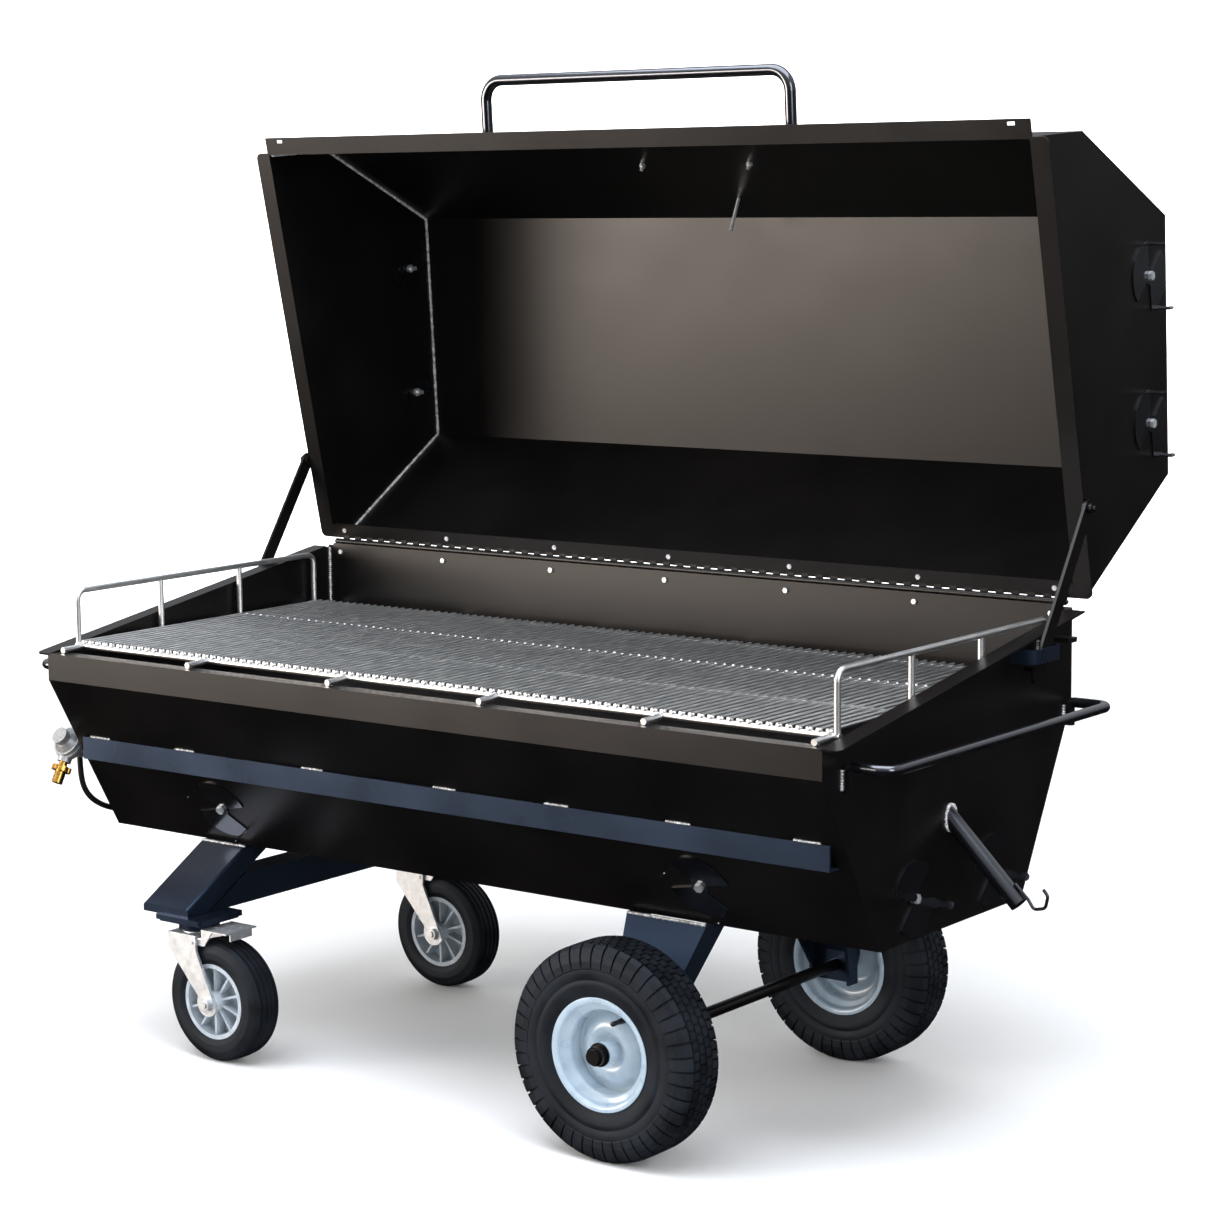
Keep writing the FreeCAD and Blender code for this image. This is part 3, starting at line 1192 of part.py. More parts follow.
def axle():
    """One steel rod through both axle legs and both wheels, with a collar inside each hub."""
    reach = HUB_LENGTH / 2 + 16.0
    rod = cylinder(V(AXLE_X, wheel_y(-1) - reach, TYRE_R), V(AXLE_X, wheel_y(1) + reach, TYRE_R), AXLE_R)
    for side, word in chassis_sides():
        inner = wheel_y(side) - side * (HUB_LENGTH / 2 + WHEEL_SIDE_GAP)
        collar = cylinder(V(AXLE_X, inner, TYRE_R), V(AXLE_X, inner - side * AXLE_COLLAR, TYRE_R), AXLE_R + 6.0)
        rod = rod.fuse(collar)
    return rod.removeSplitter()


def axle_nut(side):
    """A washer and a capped nut that hold a wheel on."""
    face = wheel_y(side) + side * (HUB_LENGTH / 2 + WHEEL_SIDE_GAP)
    washer = cylinder(V(AXLE_X, face, TYRE_R), V(AXLE_X, face + side * 2.5, TYRE_R), HUB_R + 1.0)
    nut = cylinder(V(AXLE_X, face + side * 2.5, TYRE_R), V(AXLE_X, face + side * 14.0, TYRE_R), 14.5)
    cap = cylinder(V(AXLE_X, face + side * 14.0, TYRE_R), V(AXLE_X, face + side * 20.0, TYRE_R), 11.0)
    bore = cylinder(V(AXLE_X, face - side, TYRE_R), V(AXLE_X, wheel_y(side) + side * (HUB_LENGTH / 2 + 16.0), TYRE_R),
                    AXLE_R)
    return washer.fuse(nut).fuse(cap).removeSplitter().cut(bore)


# ================================================================ wheels

def big_tyre(side):
    """A pneumatic tyre: beads on the rim, a bulging sidewall and a flat tread."""
    w = TYRE_WIDTH / 2
    r = TYRE_R
    bead = RIM_BEAD_R + 0.3
    seat = RIM_HALF - RIM_SHEET - 0.5
    profile = [(-seat, bead), (-seat, bead + 9.0), (-w + 1.0, bead + 18.0), (-w, r - 44.0), (-w, r - 26.0),
               (-w + 4.0, r - 10.0), (-w + 13.0, r - 2.0), (-w + 26.0, r), (w - 26.0, r), (w - 13.0, r - 2.0),
               (w - 4.0, r - 10.0), (w, r - 26.0), (w, r - 44.0), (w - 1.0, bead + 18.0), (seat, bead + 9.0),
               (seat, bead), (seat - 9.0, bead), (seat - 6.0, bead + 14.0), (w - 8.0, r - 42.0),
               (w - 12.0, r - 16.0), (-w + 12.0, r - 16.0), (-w + 8.0, r - 42.0), (-seat + 6.0, bead + 14.0),
               (-seat + 9.0, bead)]
    return turned(profile, V(AXLE_X, wheel_y(side), TYRE_R))


def big_rim(side):
    """A pressed steel rim with a drop centre, a dished disc and a hub tube that runs on the axle."""
    t = RIM_SHEET
    h = RIM_HALF
    barrel = [(-h, RIM_R), (-h + t, RIM_R), (-h + t, RIM_BEAD_R), (-h + 16.0, RIM_BEAD_R), (-h + 22.0, RIM_WELL_R + t),
              (h - 22.0, RIM_WELL_R + t), (h - 16.0, RIM_BEAD_R), (h - t, RIM_BEAD_R), (h - t, RIM_R), (h, RIM_R),
              (h, RIM_BEAD_R - t), (h - 17.5, RIM_BEAD_R - t), (h - 23.5, RIM_WELL_R), (-h + 23.5, RIM_WELL_R),
              (-h + 17.5, RIM_BEAD_R - t), (-h, RIM_BEAD_R - t)]
    centre = V(AXLE_X, wheel_y(side), TYRE_R)
    out = side * 1.0
    disc = [(out * -4.0, RIM_WELL_R + 1.0), (out * 0.0, RIM_WELL_R + 1.0), (out * 0.0, 56.0), (out * 12.0, 44.0),
            (out * 14.0, 30.0), (out * 6.0, HUB_R - 1.0), (out * 2.0, HUB_R - 1.0), (out * 10.0, 30.0),
            (out * 8.0, 42.0), (out * -4.0, 54.0)]
    hub = [(-HUB_LENGTH / 2, AXLE_R + FIT), (-HUB_LENGTH / 2, HUB_R), (HUB_LENGTH / 2, HUB_R),
           (HUB_LENGTH / 2, AXLE_R + FIT)]
    rim = turned(barrel, centre).fuse(turned(disc, centre)).fuse(turned(hub, centre))
    stem_way = V(0, side * 1.0, 0)
    foot = centre + V(0, side * 4.0, 34.0)
    stem = Part.makeCylinder(4.0, 30.0, foot, stem_way)
    return rim.fuse(stem).removeSplitter()


def caster_centre(side):
    """Middle of a caster's wheel, trailing behind its swivel axis."""
    return V(CASTER_SWIVEL_X + CASTER_TRAIL, swivel_y(side), CASTER_R)


def caster_tyre(side):
    """A moulded rubber tyre with a ribbed tread."""
    w = CASTER_TYRE_WIDTH / 2
    r = CASTER_R
    profile = [(-w + 4.0, CASTER_RIM_R + 0.2), (-w, CASTER_RIM_R + 9.0), (-w, r - 18.0), (-w + 5.0, r - 6.0),
               (-w + 12.0, r - 1.0), (-w + 22.0, r), (w - 22.0, r), (w - 12.0, r - 1.0), (w - 5.0, r - 6.0),
               (w, r - 18.0), (w, CASTER_RIM_R + 9.0), (w - 4.0, CASTER_RIM_R + 0.2)]
    return turned(profile, caster_centre(side))


def caster_hub(side):
    """A moulded wheel centre: a rim ring, a thin web, paired spokes and a hub tube."""
    w = CASTER_TYRE_WIDTH / 2 - 4.0
    centre = caster_centre(side)
    hub_half = CASTER_TYRE_WIDTH / 2 + FORK_SIDE_GAP - 1.0
    ring = [(-w, CASTER_RIM_R), (w, CASTER_RIM_R), (w, CASTER_RIM_R - 7.0), (-w, CASTER_RIM_R - 7.0)]
    web = [(-2.0, CASTER_RIM_R - 6.0), (2.0, CASTER_RIM_R - 6.0), (2.0, CASTER_HUB_R - 1.0), (-2.0, CASTER_HUB_R - 1.0)]
    hub = [(-hub_half, CASTER_AXLE_R + FIT), (-hub_half, CASTER_HUB_R), (hub_half, CASTER_HUB_R),
           (hub_half, CASTER_AXLE_R + FIT)]
    wheel = turned(ring, centre).fuse(turned(web, centre)).fuse(turned(hub, centre))
    length = CASTER_RIM_R - CASTER_HUB_R - 4.0
    spokes = []
    for k in range(CASTER_SPOKES):
        spoke = Part.makeBox(4.0, 2 * w - 10.0, length, V(-2.0, -w + 5.0, CASTER_HUB_R - 1.5))
        spoke.rotate(V(0, 0, 0), Y_AXIS, 360.0 * k / CASTER_SPOKES)
        spoke.translate(centre)
        spokes.append(spoke)
    return wheel.fuse(spokes).removeSplitter()


def fork_side_outline():
    """The fork's side plate in (x, z): a crown edge, a leg leaning back and a round foot."""
    crown_z = CASTER_HEIGHT - FORK_TOP_GAP
    foot = caster_centre(1)
    lean = math.atan2(CASTER_TRAIL, crown_z - foot.z)
    points = [(CASTER_SWIVEL_X - FORK_CROWN_WIDTH / 2, crown_z), (CASTER_SWIVEL_X + FORK_CROWN_WIDTH / 2, crown_z)]
    points.append((CASTER_SWIVEL_X + FORK_CROWN_WIDTH / 2, crown_z - 26.0))
    steps = 12
    for k in range(steps + 1):
        angle = -lean + math.pi / 2 * 0 + -math.pi * k / steps
        points.append((foot.x + FORK_FOOT_R * math.cos(angle), foot.z + FORK_FOOT_R * math.sin(angle)))
    points.append((CASTER_SWIVEL_X - FORK_CROWN_WIDTH / 2, crown_z - 26.0))
    return points


def caster_fork(side):
    """A pressed fork: a crown over the wheel and two side plates leaning back to the axle."""
    half = CASTER_TYRE_WIDTH / 2 + FORK_SIDE_GAP
    y = swivel_y(side)
    crown_z = CASTER_HEIGHT - FORK_TOP_GAP
    crown = Part.makeBox(FORK_CROWN_WIDTH, 2 * half + 2 * FORK_PLATE, FORK_PLATE,
                         V(CASTER_SWIVEL_X - FORK_CROWN_WIDTH / 2, y - half - FORK_PLATE, crown_z - FORK_PLATE))
    fork = crown
    for plate_side in (-1, 1):
        near = y + plate_side * half
        fork = fork.fuse(prism_y(fork_side_outline(), near, near + plate_side * FORK_PLATE))
    race = Part.makeCylinder(RACE_R - 4.0, 2.0 - RACE_GAP, V(CASTER_SWIVEL_X, y, crown_z), Z_AXIS)
    fork = fork.fuse(race).removeSplitter()
    bore = Part.makeCylinder(6.0 + FIT, 30.0, V(CASTER_SWIVEL_X, y, crown_z - 15.0), Z_AXIS)
    centre = caster_centre(side)
    axle_hole = cylinder(centre - Y_AXIS * 80.0, centre + Y_AXIS * 80.0, CASTER_AXLE_R + 0.05)
    pivot = pedal_pivot(side)
    pedal_hole = cylinder(pivot - Y_AXIS * 80.0, pivot + Y_AXIS * 80.0, PEDAL_PIVOT_R + 0.05)
    return fork.cut(bore).cut(axle_hole).cut(pedal_hole)


def caster_axle(side):
    """The bolt through the fork's feet and the caster's hub."""
    half = CASTER_TYRE_WIDTH / 2 + FORK_SIDE_GAP + FORK_PLATE
    centre = caster_centre(side)
    shank = cylinder(centre - Y_AXIS * (half + 10.0), centre + Y_AXIS * (half + 1.0), CASTER_AXLE_R)
    head = cylinder(centre + Y_AXIS * (half + 0.1), centre + Y_AXIS * (half + 6.0), 10.0)
    nut = cylinder(centre - Y_AXIS * (half + 0.1), centre - Y_AXIS * (half + 7.5), 10.0)
    return shank.fuse(head).fuse(nut).removeSplitter()


def pedal_pivot(side):
    """The brake pedal's pivot, low on the fork's crown."""
    return V(CASTER_SWIVEL_X + FORK_CROWN_WIDTH / 2 - 8.0, swivel_y(side), CASTER_HEIGHT - FORK_TOP_GAP - 12.0)


def brake_pedal(side):
    """A drilled foot plate on two arms, with a shoe turned down over the tyre."""
    pivot = pedal_pivot(side)
    half = CASTER_TYRE_WIDTH / 2 + FORK_SIDE_GAP - 1.0
    x0 = pivot.x + 16.0
    z = CASTER_HEIGHT - 12.0
    y = swivel_y(side)
    plate = Part.makeBox(PEDAL_LENGTH, PEDAL_WIDTH, PEDAL_THICK, V(x0, y - PEDAL_WIDTH / 2, z))
    shoe = Part.makeBox(PEDAL_THICK, PEDAL_WIDTH * 0.7, PEDAL_SHOE + 1.0,
                        V(x0 + PEDAL_LENGTH - PEDAL_THICK, y - PEDAL_WIDTH * 0.35, z - PEDAL_SHOE))
    pedal = plate.fuse(shoe)
    for arm_side in (-1, 1):
        near = y + arm_side * (half - PEDAL_THICK)
        outline = [(pivot.x - 5.0, pivot.z - 5.0), (x0 + 6.0, pivot.z - 5.0), (x0 + 24.0, z), (x0 + 24.0, z + 1.0),
                   (x0, z + 1.0), (x0, pivot.z + 4.0), (pivot.x - 5.0, pivot.z + 4.0)]
        pedal = pedal.fuse(prism_y(outline, near, near + arm_side * PEDAL_THICK))
        stub = pivot + Y_AXIS * (near - y)
        tip = pivot + Y_AXIS * (arm_side * (half + FORK_PLATE + 3.0))
        pedal = pedal.fuse(cylinder(stub, tip, PEDAL_PIVOT_R))
    pedal = pedal.removeSplitter()
    for i in range(3):
        for j in range(2):
            at = V(x0 + 12.0 + 15.0 * i, y - 13.0 + 26.0 * j, z - 1)
            pedal = pedal.cut(Part.makeCylinder(PEDAL_HOLE_R, PEDAL_THICK + 2, at, Z_AXIS))
    return pedal


# ================================================================ assembly

def build_trough():
    wrap = trough_wrap()
    keep("trough_wrap", wrap)
    keep("trough_end_left", trough_end(-1, wrap))
    keep("trough_end_right", trough_end(1, wrap))
    keep("front_rail", front_rail())
    keep("grate_ledge", grate_ledge())
    keep("end_handles", end_handle(-1), end_handle(1))
    keep("stay_guides", stay_guide(-1), stay_guide(1))
    keep("rear_lugs", rear_lug(-1), rear_lug(1))
    keep("drip_pan", drip_pan())
    keep("drain_tube", drain_tube(), drain_hook())
    keep("burner", burner())
    brackets = [burner_bracket(x) for x in (-560.0, 0.0, 420.0)]
    keep("inner_brackets", pan_bearer(-1), pan_bearer(1), *brackets)


def build_gas():
    keep("gas_inlet", gas_inlet())
    keep("gas_hose", gas_hose())
    keep("regulator_body", regulator_body())
    keep("regulator_nut", regulator_nut())
    keep("regulator_clip", regulator_clip())


def build_hood():
    wrap = hood_wrap()
    keep("hood_wrap", hood_open(wrap))
    keep("hood_end_left", hood_open(hood_end(-1, wrap)))
    keep("hood_end_right", hood_open(hood_end(1, wrap)))
    keep("hood_handle", hood_open(hood_handle()))
    keep("thermometer", hood_open(thermometer()), hood_open(dial_glass()))
    keep("badge_plate", hood_open(badge_plate()))
    keep("hinge_upper_leaf", hood_open(hinge_leaf(True)))
    keep("stay_pivots", stay_lug(-1), stay_lug(1), stay_nut(-1), stay_nut(1))
    keep("hood_stay_left", hood_stay(-1))
    keep("hood_stay_right", hood_stay(1))


def build_hinge():
    keep("hinge_lower_leaf", hinge_leaf(False))
    half = knuckle_count() * KNUCKLE_PITCH / 2 + 3.0
    keep("hinge_pin", cylinder(V(-half, HINGE_Y, HINGE_Z), V(half, HINGE_Y, HINGE_Z), HINGE_PIN_R))


def build_vents():
    trough_bolts = [trough_hinge_bolt(seat, way) for seat, way in hinge_bolt_seats(False)]
    hood_bolts = [badge_bolt(-1), badge_bolt(1)]
    hood_bolts += [hood_hinge_bolt(seat, way) for seat, way in hinge_bolt_seats(True)]
    hood_bolts = [hood_open(bolt) for bolt in hood_bolts]
    for name, at, axes, phase, tab_first, on_hood in vent_sites():
        plate = placed(vent_plate(phase, tab_first), at, *axes)
        bolt = placed(vent_bolt(), at, *axes)
        keep(name, hood_open(plate) if on_hood else plate)
        if on_hood:
            hood_bolts.append(hood_open(bolt))
        else:
            trough_bolts.append(bolt)
    keep("trough_bolts", *trough_bolts)
    keep("hood_bolts", *hood_bolts)


def build_grate():
    keep("grate_rods", *grate_rods())
    bars = grate_bars()
    keep("grate_frame", side_rail(-1, bars), side_rail(1, bars), *bars)


def build_chassis():
    keep("caster_legs", caster_leg(-1), caster_leg(1))
    keep("cross_tube", cross_tube())
    keep("caster_plates", caster_plate(-1), caster_plate(1), king_bolt(-1), king_bolt(1))
    keep("axle_legs", axle_leg(-1), axle_leg(1))
    keep("axle", axle())
    keep("axle_nuts", axle_nut(-1), axle_nut(1))


def build_wheels():
    for side, word in chassis_sides():
        keep("wheel_tyre_" + word, big_tyre(side))
        keep("wheel_rim_" + word, big_rim(side))
        keep("caster_fork_" + word, caster_fork(side), caster_axle(side))
        keep("caster_tyre_" + word, caster_tyre(side))
        keep("caster_hub_" + word, caster_hub(side))
        keep("brake_pedal_" + word, brake_pedal(side))


CORD_NODES = ("gas_hose", "regulator_body", "regulator_nut")


def footprint_shift():
    """How far everything moves so that the origin is the middle of its box, at the ground."""
    box = FreeCAD.BoundBox()
    for name, solids in nodes.items():
        if name not in CORD_NODES:
            for solid in solids:
                box.add(solid.BoundBox)
    return V(-(box.XMin + box.XMax) / 2, -(box.YMin + box.YMax) / 2, -box.ZMin)


def write_all(shift):
    """Moves each node by the shift and writes its STEP file."""
    os.makedirs("parts", exist_ok=True)
    for name, solids in nodes.items():
        moved = []
        for solid in solids:
            copy = solid.copy()
            copy.translate(shift)
            moved.append(copy)
        shape = moved[0] if len(moved) == 1 else Part.makeCompound(moved)
        shape.exportStep("parts/%s.step" % name)
        if not shape.isValid() or len(shape.Solids) != len(moved):
            print("check", name, "valid", shape.isValid(), "solids", len(shape.Solids), "pieces", len(moved))


build_trough()
build_gas()
build_hood()
build_hinge()
build_vents()
build_grate()
build_chassis()
build_wheels()
SHIFT = footprint_shift()
write_all(SHIFT)
print("nodes", len(nodes), "shift", [round(v, 3) for v in SHIFT])
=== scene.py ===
# %% [markdown]
# # A trough barbecue on a cart
# The real thing is folded and welded sheet steel, powder-coated satin black, with a long hood that
# swings up on a piano hinge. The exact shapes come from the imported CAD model. This lesson gives
# them real finishes and adds what CAD leaves out: tyre treads, weld beads, the hanging gas hose.

# %% Load the frame
import json
import math
import bpy
import bmesh
from mathutils import Matrix, Vector


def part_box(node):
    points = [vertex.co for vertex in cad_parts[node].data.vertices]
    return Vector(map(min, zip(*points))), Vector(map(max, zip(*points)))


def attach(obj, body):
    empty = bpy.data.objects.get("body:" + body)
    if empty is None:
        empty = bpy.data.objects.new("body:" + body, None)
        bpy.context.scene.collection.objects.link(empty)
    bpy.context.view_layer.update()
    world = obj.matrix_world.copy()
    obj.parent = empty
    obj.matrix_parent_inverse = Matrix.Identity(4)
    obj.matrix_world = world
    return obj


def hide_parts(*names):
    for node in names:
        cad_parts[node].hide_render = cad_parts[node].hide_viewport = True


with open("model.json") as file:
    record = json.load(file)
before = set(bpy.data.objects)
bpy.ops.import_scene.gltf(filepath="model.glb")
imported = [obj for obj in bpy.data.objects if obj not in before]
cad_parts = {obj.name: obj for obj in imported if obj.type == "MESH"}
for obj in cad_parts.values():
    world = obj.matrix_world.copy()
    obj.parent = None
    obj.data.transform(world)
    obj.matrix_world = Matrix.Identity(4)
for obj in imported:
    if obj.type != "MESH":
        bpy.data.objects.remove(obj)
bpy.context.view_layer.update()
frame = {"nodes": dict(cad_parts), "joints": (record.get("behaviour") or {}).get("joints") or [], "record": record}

MM = 0.001
trough_lo, trough_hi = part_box("trough_wrap")
HOME = Vector(((trough_lo.x + trough_hi.x) / 2, (trough_lo.y + trough_hi.y) / 2, 0.0))


def spot(x, y, z):
    """A point in metres, given in millimetres from the middle of the trough at ground level."""
    return HOME + Vector((x, y, z)) * MM


# %% [markdown]
# ## Camera
# A long lens from the cook's right, a little above the grate. The lens is shifted sideways so the
# cart sits in the middle without turning the camera, which keeps the uprights upright.

# %% Camera
camera_data = bpy.data.cameras.new("camera")
camera = bpy.data.objects.new("camera", camera_data)
bpy.context.scene.collection.objects.link(camera)
bpy.context.scene.camera = camera
CAMERA_AT = (3000.2, -3849.2, 1434.5)
CAMERA_TURN = 0.6761
CAMERA_DOWN = 0.1352
CAMERA_ROLL = -0.0135
SENSOR_MM = 36.0
LENS_MM = 90.45
LENS_SHIFT = (0.0917, -0.0099)
FAR_LIMIT = 60.0
camera.location = spot(*CAMERA_AT)
camera.rotation_euler = (Matrix.Rotation(CAMERA_TURN, 4, "Z")
                         @ Matrix.Rotation(math.pi / 2 - CAMERA_DOWN, 4, "X")
                         @ Matrix.Rotation(CAMERA_ROLL, 4, "Z")).to_euler()
camera_data.sensor_width = SENSOR_MM
camera_data.lens = LENS_MM
camera_data.shift_x, camera_data.shift_y = LENS_SHIFT
camera_data.clip_end = FAR_LIMIT
print("camera at", [round(v, 2) for v in camera.location])

# %% [markdown]
# ## The gas hose
# A black rubber hose about half a metre long hangs in one loop from the regulator to the burner's
# inlet. A mesh tube would show its flats in the bend. A NURBS line through the same route bends
# smoothly, as rubber does, and a round bevel gives it its thickness. Each point's radius holds the
# hose's radius, and the bevel's own depth stays at one metre, which that radius scales down.

# %% Hose
HOSE_ROUTE = [(-0.802, 0.122, 0.480), (-0.802, 0.114, 0.436), (-0.802, 0.084, 0.398),
              (-0.802, 0.042, 0.368), (-0.802, -0.008, 0.350), (-0.802, -0.062, 0.341),
              (-0.803, -0.116, 0.342), (-0.804, -0.168, 0.350), (-0.805, -0.212, 0.365),
              (-0.806, -0.243, 0.388), (-0.807, -0.257, 0.420), (-0.806, -0.258, 0.458)]
HOSE_POINTS = [HOME + Vector(point) for point in HOSE_ROUTE]
HOSE_RADIUS = 0.005
hose_curve = bpy.data.curves.new("gas_hose_rubber", "CURVE")
hose_curve.dimensions = "3D"
hose_line = hose_curve.splines.new("NURBS")
hose_line.points.add(len(HOSE_POINTS) - 1)
for point, place in zip(hose_line.points, HOSE_POINTS):
    point.co = (*place, 1.0)
    point.radius = HOSE_RADIUS
hose_line.order_u = 3
hose_line.use_endpoint_u = True
hose_line.resolution_u = 12
hose_curve.bevel_depth = 1.0
hose_curve.bevel_resolution = 6
hose_curve.use_fill_caps = True
hose = bpy.data.objects.new("gas_hose_rubber", hose_curve)
bpy.context.scene.collection.objects.link(hose)
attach(hose, "trough")
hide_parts("gas_hose")

# %% [markdown]
# ## Mixing finishes
# Every finish starts from the same three questions: how does its colour drift, how does its
# roughness drift, and what fine texture does it have? One function adds a shader node with its
# settings and links, and another mixes a whole finish from real sizes in millimetres. What is the
# same all over a surface, such as metallic or specular level, is set on the shader itself.

# %% Colour and node helpers
CLOUD_DETAIL = 4.0
TEXTURE_DETAIL = 2.5
CLOUD_STOPS = (0.35, 0.65)
CLOUD_RANGE = (0.3, 0.7)
RELIEF_STRENGTH = 0.4


def linear(code):
    """Linear RGBA from an sRGB hex code."""
    parts = [int(code[i:i + 2], 16) / 255 for i in (1, 3, 5)]
    return (*[c / 12.92 if c <= 0.04045 else ((c + 0.055) / 1.055) ** 2.4 for c in parts], 1.0)


def add(tree, kind, settings=(), **wires):
    """Adds a node. Settings are attributes or input names with values; wires join inputs to sockets."""
    node = tree.nodes.new(kind)
    for key, value in dict(settings).items():
        if isinstance(key, str) and hasattr(node, key):
            setattr(node, key, value)
        else:
            node.inputs[key].default_value = value
    for key, socket in wires.items():
        tree.links.new(socket, node.inputs[key.replace("_", " ")])
    return node


def finish(name, colours, rough, drift_mm, texture_mm, depth_mm, stretch=(1.0, 1.0, 1.0), **fixed):
    """A finish whose colour and roughness drift over drift_mm, with a finer texture's relief."""
    made = bpy.data.materials.new(name)
    made.use_nodes = True
    tree = made.node_tree
    shader = tree.nodes["Principled BSDF"]
    for key, value in fixed.items():
        shader.inputs[key.replace("_", " ")].default_value = value
    piece = add(tree, "ShaderNodeTexCoord")
    place = add(tree, "ShaderNodeMapping", {"Scale": stretch}, Vector=piece.outputs["Object"])
    drift = add(tree, "ShaderNodeTexNoise", {"Scale": 1 / (drift_mm * MM), "Detail": CLOUD_DETAIL},
                Vector=place.outputs[0])
    fine = add(tree, "ShaderNodeTexNoise", {"Scale": 1 / (texture_mm * MM), "Detail": TEXTURE_DETAIL},
               Vector=place.outputs[0])
    tones = add(tree, "ShaderNodeValToRGB", Fac=drift.outputs["Fac"])
    for stop, where, code in zip(tones.color_ramp.elements, CLOUD_STOPS, colours):
        stop.position = where
        stop.color = linear(code)
    wear = add(tree, "ShaderNodeMapRange", {"From Min": CLOUD_RANGE[0], "From Max": CLOUD_RANGE[1],
                                            "To Min": rough[0], "To Max": rough[1]},
               Value=drift.outputs["Fac"])
    relief = add(tree, "ShaderNodeBump", {"Strength": RELIEF_STRENGTH, "Distance": depth_mm * MM},
                 Height=fine.outputs["Fac"])
    tree.links.new(tones.outputs["Color"], shader.inputs["Base Color"])
    tree.links.new(wear.outputs[0], shader.inputs["Roughness"])
    tree.links.new(relief.outputs[0], shader.inputs["Normal"])
    return made


# %% [markdown]
# ### Satin black powder coat
# Polyester powder baked on steel. It flows out almost flat but keeps an orange-peel ripple two
# millimetres across, and handling leaves faint duller clouds. The eye gets deep black where nothing
# bright is mirrored, and a wide soft grey where a panel faces the light; a faintly warm specular
# tint paints that reflection a little warmer. The frame and the rail are slightly glossier, and a
# bluish base colour with a blue specular tint paints a cool sky reflection onto them. The tubes and
# vent plates are glossier again.

# %% Powder coats
# the faintly warm specular tint is a painted warm reflection on the black panels
powder_coat = finish("satin black powder coat", ("#090808", "#0f0d0d"), (0.30, 0.35),
                     160.0, 2.4, 0.04, Specular_IOR_Level=0.32, Specular_Tint=linear("#fffaf6"))
# bluish base colours and a blue specular tint: a painted blue sky reflection on the frame and rail
sky_tinted_coat = finish("satin black powder coat with painted blue sky sheen", ("#0f141b", "#141a23"), (0.26, 0.32),
                   120.0, 2.4, 0.04, Specular_IOR_Level=1.0, Specular_Tint=linear("#9dbdf0"))
gloss_coat = finish("gloss black tube enamel", ("#08080a", "#0d0e11"), (0.16, 0.24),
                    90.0, 3.0, 0.02, Specular_IOR_Level=1.0, Specular_Tint=linear("#e8eefc"),
                    Coat_Weight=0.8, Coat_Roughness=0.08)
print(powder_coat.name, "|", sky_tinted_coat.name, "|", gloss_coat.name)

# %% [markdown]
# ### Bright metals
# Drawn stainless rod for the grate is streaked along its length and reads pale grey from above.
# Bright zinc plate is pale and soft, with faint clouds about a centimetre across. Turned brass and
# die-cast alloy make the gas fittings. Weld metal is lumpy and silvery, greyer where it cooled last.

# %% Bright metals
ALONG_THE_ROD = (1.0, 0.04, 1.0)
drawn_stainless = finish("drawn stainless rod", ("#cfd2d4", "#eceae4"), (0.34, 0.48),
                         1.2, 0.8, 0.02, ALONG_THE_ROD, Metallic=1.0)
zinc_plate = finish("bright zinc plate", ("#dfe3e6", "#eef0f2"), (0.38, 0.46),
                    9.0, 1.5, 0.01, Metallic=0.85)
turned_brass = finish("turned brass", ("#b98a3c", "#d6ab5c"), (0.20, 0.36),
                      4.0, 1.5, 0.03, Metallic=1.0)
die_cast = finish("die-cast zinc alloy", ("#a9abad", "#c8cacb"), (0.38, 0.58),
                  3.0, 1.2, 0.10, Metallic=0.9)
weld_metal = finish("weld bead metal", ("#a8a39d", "#f2f3f4"), (0.28, 0.50),
                    7.0, 1.5, 0.40, Metallic=0.5)
print("five bright metals")

# %% [markdown]
# ### Rubber, rim enamel and plastics
# Tyre rubber is carbon black and matt; the slight blue in its colour and the blue tint on its
# reflections are a painted cool sky reflection. Hose rubber is smoother. The rims have a glossy light
# grey enamel with a touch of blue, and the caster hubs are moulded grey nylon. The thermometer has a
# printed card.

# %% Rubber, rim enamel and plastics
# slightly blue-black base colours and a blue specular tint: a painted cool sky reflection on black rubber
tyre_rubber = finish("moulded tyre rubber", ("#0f1114", "#1c1f24"), (0.50, 0.70),
                     45.0, 1.6, 0.10, Specular_IOR_Level=0.22, Specular_Tint=linear("#dbe6f6"))
hose_rubber = finish("extruded hose rubber", ("#0d0d0e", "#161617"), (0.36, 0.50),
                     20.0, 1.2, 0.04, Specular_IOR_Level=0.45)
rim_enamel = finish("light grey rim enamel", ("#9fb0bd", "#adbdc8"), (0.24, 0.34),
                    30.0, 2.0, 0.03, Coat_Weight=0.35, Coat_Roughness=0.12)
hub_nylon = finish("moulded grey nylon", ("#a3acb4", "#b7bfc6"), (0.42, 0.55),
                   20.0, 1.5, 0.05, Specular_IOR_Level=0.4)
dial_card = finish("printed dial card", ("#e6e2d9", "#f2f0ea"), (0.50, 0.65), 12.0, 0.8, 0.02)
dial_ink = finish("dial ink", ("#141414", "#202020"), (0.45, 0.60), 6.0, 0.8, 0.02)
hose.data.materials.append(hose_rubber)
print("six soft finishes")

# %% [markdown]
# ### Dressing the CAD pieces
# Each CAD piece names a material slot in its record. A table turns those slots into finishes, and a
# second one names the few pieces that were painted after they were made, and gives the frame and
# the rail the coat whose blue is a painted sky reflection.

# %% Dress the CAD pieces
FINISHES = {"powder_coat": powder_coat, "stainless": drawn_stainless, "zinc": zinc_plate,
            "wheel_rubber": tyre_rubber, "rim_paint": rim_enamel, "hub_plastic": hub_nylon,
            "brass_fitting": turned_brass, "cast_zinc": die_cast, "hose_rubber": hose_rubber}
